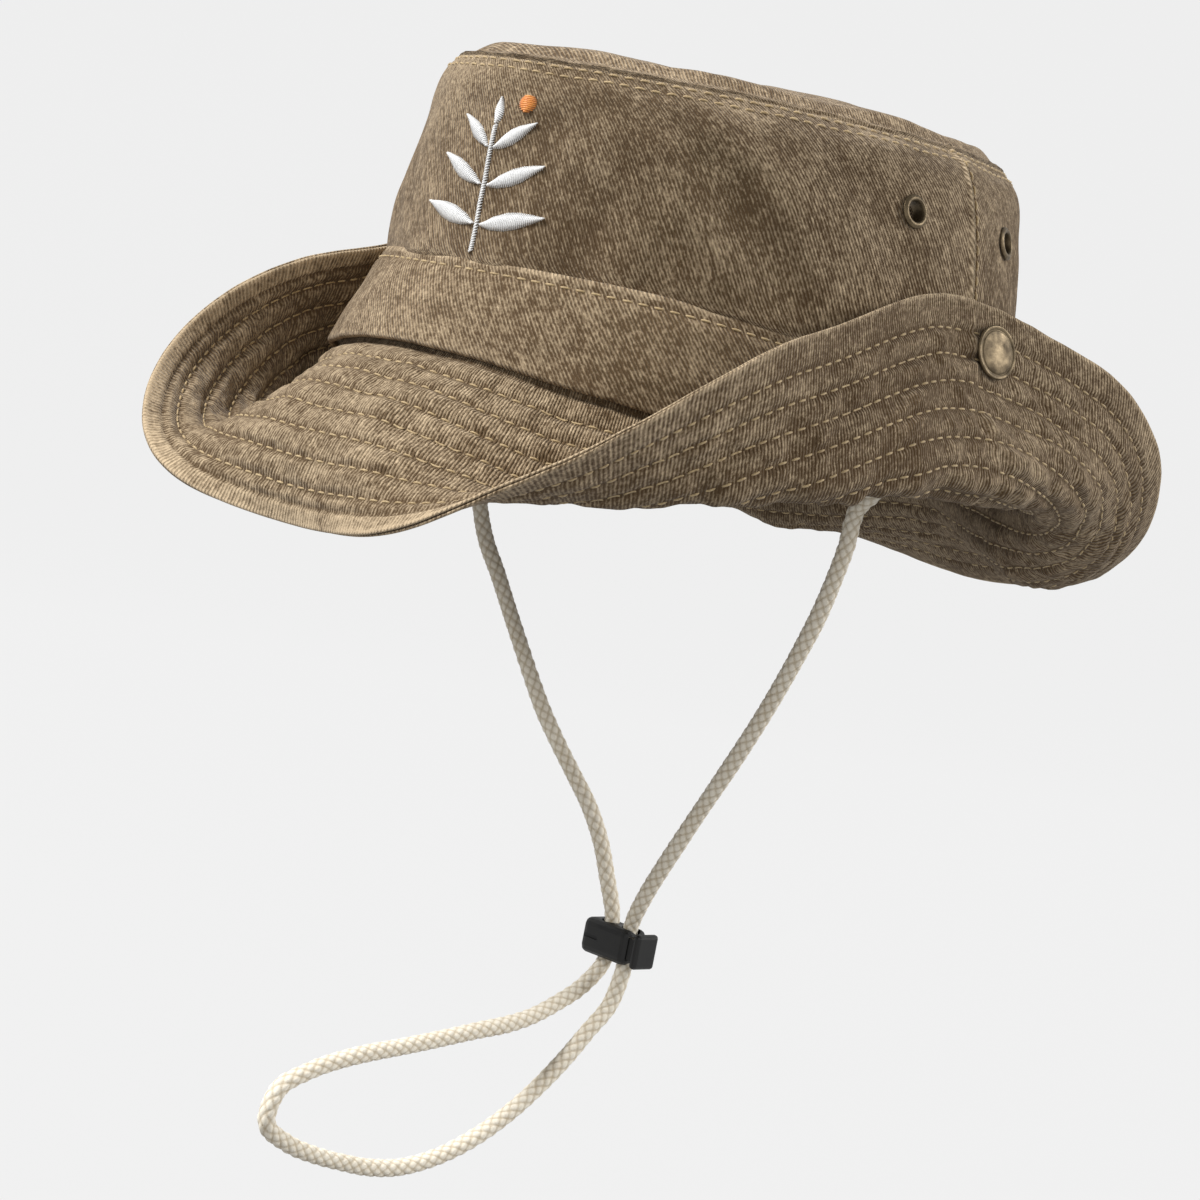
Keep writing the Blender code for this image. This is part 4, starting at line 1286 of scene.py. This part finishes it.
def build_metal():
    """The eyelets' rings and the snaps' caps."""
    ring, cap = (
        rounded([(radius * MM, height * MM) for radius, height in outline], corner)
        for outline, corner in ((EYELET_OUTLINE, 0.3 * MM), (CAP_OUTLINE, 0.35 * MM))
    )
    for side, sign in SIDES:
        for end, (angle, level) in EYELETS.items():
            phi = sign * math.radians(angle)
            centre = off_crown(phi, level, crown_folds(phi, level))
            name, axis = f"eyelet_ring_{side}_{end}", crown_normal(phi, level)
            made = lathe(name, ring, centre, axis, BRASS)
            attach(made, "hat")
            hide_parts(f"eyelet_{side}_{end}")
        centre = np.array((sign * 84.83, 17.22, 26.01)) * MM
        axis = (sign * 0.9672, -0.0970, 0.2346)
        made = lathe(f"snap_button_{side}", cap, centre, axis, BRASS, 72)
        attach(made, f"brim_flap_{side}")
        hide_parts(f"snap_cap_{side}")


def refinish(material, *starts):
    """Give a material to the CAD nodes that stay in sight, found by how their names start."""
    for name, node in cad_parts.items():
        if name.startswith(starts):
            for slot in node.material_slots:
                slot.material = material


build_metal()
refinish(BRASS, "eyelet_washer", "snap_s", "snap_post")
refinish(PLASTIC, "lock_housing", "lock_plunger")
refinish(STEEL, "lock_spring")


# ---------------------------------------------------------------- embroidery


MOTIF_ACROSS = 4.0 * MM
MOTIF_LEVEL = 0.34
LEAF_PLACES = (0, 0.04, 0.20, 0.42, 0.62, 0.82, 1.0)
LEAF_WIDTHS = (0.1, 0.2, 0.72, 1.0, 0.88, 0.5, 0.08)


def on_crown_front(x, y):
    """A point of the motif laid on the front of the crown, and the way out there."""
    phi = (x + MOTIF_ACROSS) / CROWN_WIDTHS[1]
    level = MOTIF_LEVEL + y / WALL_HEIGHT
    return crown_face(phi, level), crown_normal(phi, level)


def laid_threads(starts, ends, arch):
    """Threads between pairs of points of the motif, raised in the middle by the arch."""
    t = np.linspace(0, 1, 5)[None, :, None]
    flat = starts[:, None] * (1 - t) + ends[:, None] * t
    spots, ups = on_crown_front(flat[..., 0], flat[..., 1])
    spots = spots + ups * (arch * np.sin(np.pi * t[..., 0]) + 0.12 * MM)[..., None]
    return spots, unit(ups[:, 2])


def leaf_threads(base, tip, width):
    """Slanting threads side by side, as wide as the leaf is there."""
    spacing, slant = 0.52 * MM, 0.9 * MM
    along = tip - base
    length = np.linalg.norm(along)
    across = np.array((-along[1], along[0])) / length
    t = np.arange(0.03, 0.985, spacing / length)
    half = across * (np.interp(t, LEAF_PLACES, LEAF_WIDTHS) * width)[:, None]
    middle = base + along * t[:, None]
    return laid_threads(middle - half, middle + half + along / length * slant, 0.42 * MM)


def build_sprig():
    """A stem with a leaf at its top and three pairs of leaves; sizes in millimetres."""
    stem, width = 0.6 * MM, 1.7 * MM
    pairs = ((-11.0, 18.5, 3.0), (-3.5, 16.5, 5.5), (4.0, 12.0, 7.0))
    runs = [leaf_threads(np.array((0, 9.2)) * MM, np.array((0, 16.5)) * MM, width)]
    for height, reach, rise in pairs:
        for sign in (1, -1):
            base = np.array((sign * stem, height * MM))
            tip = np.array((sign * reach, height + rise)) * MM
            runs.append(leaf_threads(base, tip, width))
    heights = np.arange(-16.5, 9.2, 0.54) * MM
    starts = xyz(-stem, heights - 0.5 * MM)
    ends = xyz(stem, heights + 0.5 * MM)
    runs.append(laid_threads(starts, ends, 0.3 * MM))
    sprig = thread_mesh("sprig_threads", runs, 0.28 * MM, WHITE, 0.5, 0.4)
    starts_of_names = ("embroidery_leaf", "embroidery_stem")
    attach(sprig, "hat")
    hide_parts(*(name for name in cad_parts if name.startswith(starts_of_names)))


def build_berry():
    """The round berry beside the sprig's top leaf."""
    radius = 2.6 * MM
    heights = np.arange(-0.94, 0.95, 0.21)
    half = np.sqrt(1 - heights**2) * radius
    centre = np.array((8.5, 16.0)) * MM
    starts = centre + xyz(-half, heights * radius)
    ends = centre + xyz(half, heights * radius + 0.3 * MM)
    runs = [laid_threads(starts, ends, 0.7 * MM)]
    berry = thread_mesh("berry_threads", runs, 0.30 * MM, ORANGE, 0.5, 0.4)
    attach(berry, "hat")
    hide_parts("embroidery_berry")


build_sprig()
build_berry()


# ---------------------------------------------------------------- room and light


# Level directions towards the camera and to its right
NEARER = np.array((math.sin(CAMERA_TURN), -math.cos(CAMERA_TURN), 0))
RIGHT = np.array((math.cos(CAMERA_TURN), math.sin(CAMERA_TURN), 0))


def build_room():
    """A cove of paper: a floor that curves up behind the hat."""
    floor, bend, start = -0.290, 1.4, 1.6
    profile = [(-2.5, floor)]
    for angle in np.linspace(0, math.pi / 2, 24):
        profile.append((start + bend * math.sin(angle), floor + bend - bend * math.cos(angle)))
    profile.append((start + bend, 4.5))
    points = [-NEARER * d + RIGHT * w + UP * z for w in (-5, 5) for d, z in profile]
    faces = grid_faces(2, len(profile))
    room = new_object("backdrop", points, faces, backdrop_paper("backdrop paper"))
    room.visible_diffuse = False


def soft_light(name, place, size, power):
    """A round area light that faces the hat's middle."""
    data = bpy.data.lights.new(name, "AREA")
    data.shape = "DISK"
    data.size = size
    data.energy = power
    made = bpy.data.objects.new(name, data)
    bpy.context.scene.collection.objects.link(made)
    made.location = place
    away = Vector(place) - Vector((0, 0, -0.03))
    made.rotation_euler = away.to_track_quat("Z", "Y").to_euler()


def build_light():
    world = bpy.data.worlds.new("soft daylight")
    bpy.context.scene.world = world
    world.use_nodes = True
    sky = world.node_tree.nodes["Background"]
    sky.inputs["Color"].default_value = (1, 1, 1, 1)
    sky.inputs["Strength"].default_value = 0.37
    soft_light("key", NEARER * 0.55 - RIGHT * 1.7 + UP * 1.7, 0.8, 82.0)
    soft_light("side", RIGHT * 1.9 - NEARER * 0.15 + UP * 0.9, 0.9, 29.0)
    soft_light("fill", NEARER * 2.2 + RIGHT * 0.3 + UP * 0.4, 1.4, 9.0)
    bpy.context.scene.view_settings.view_transform = "Standard"


build_room()
build_light()
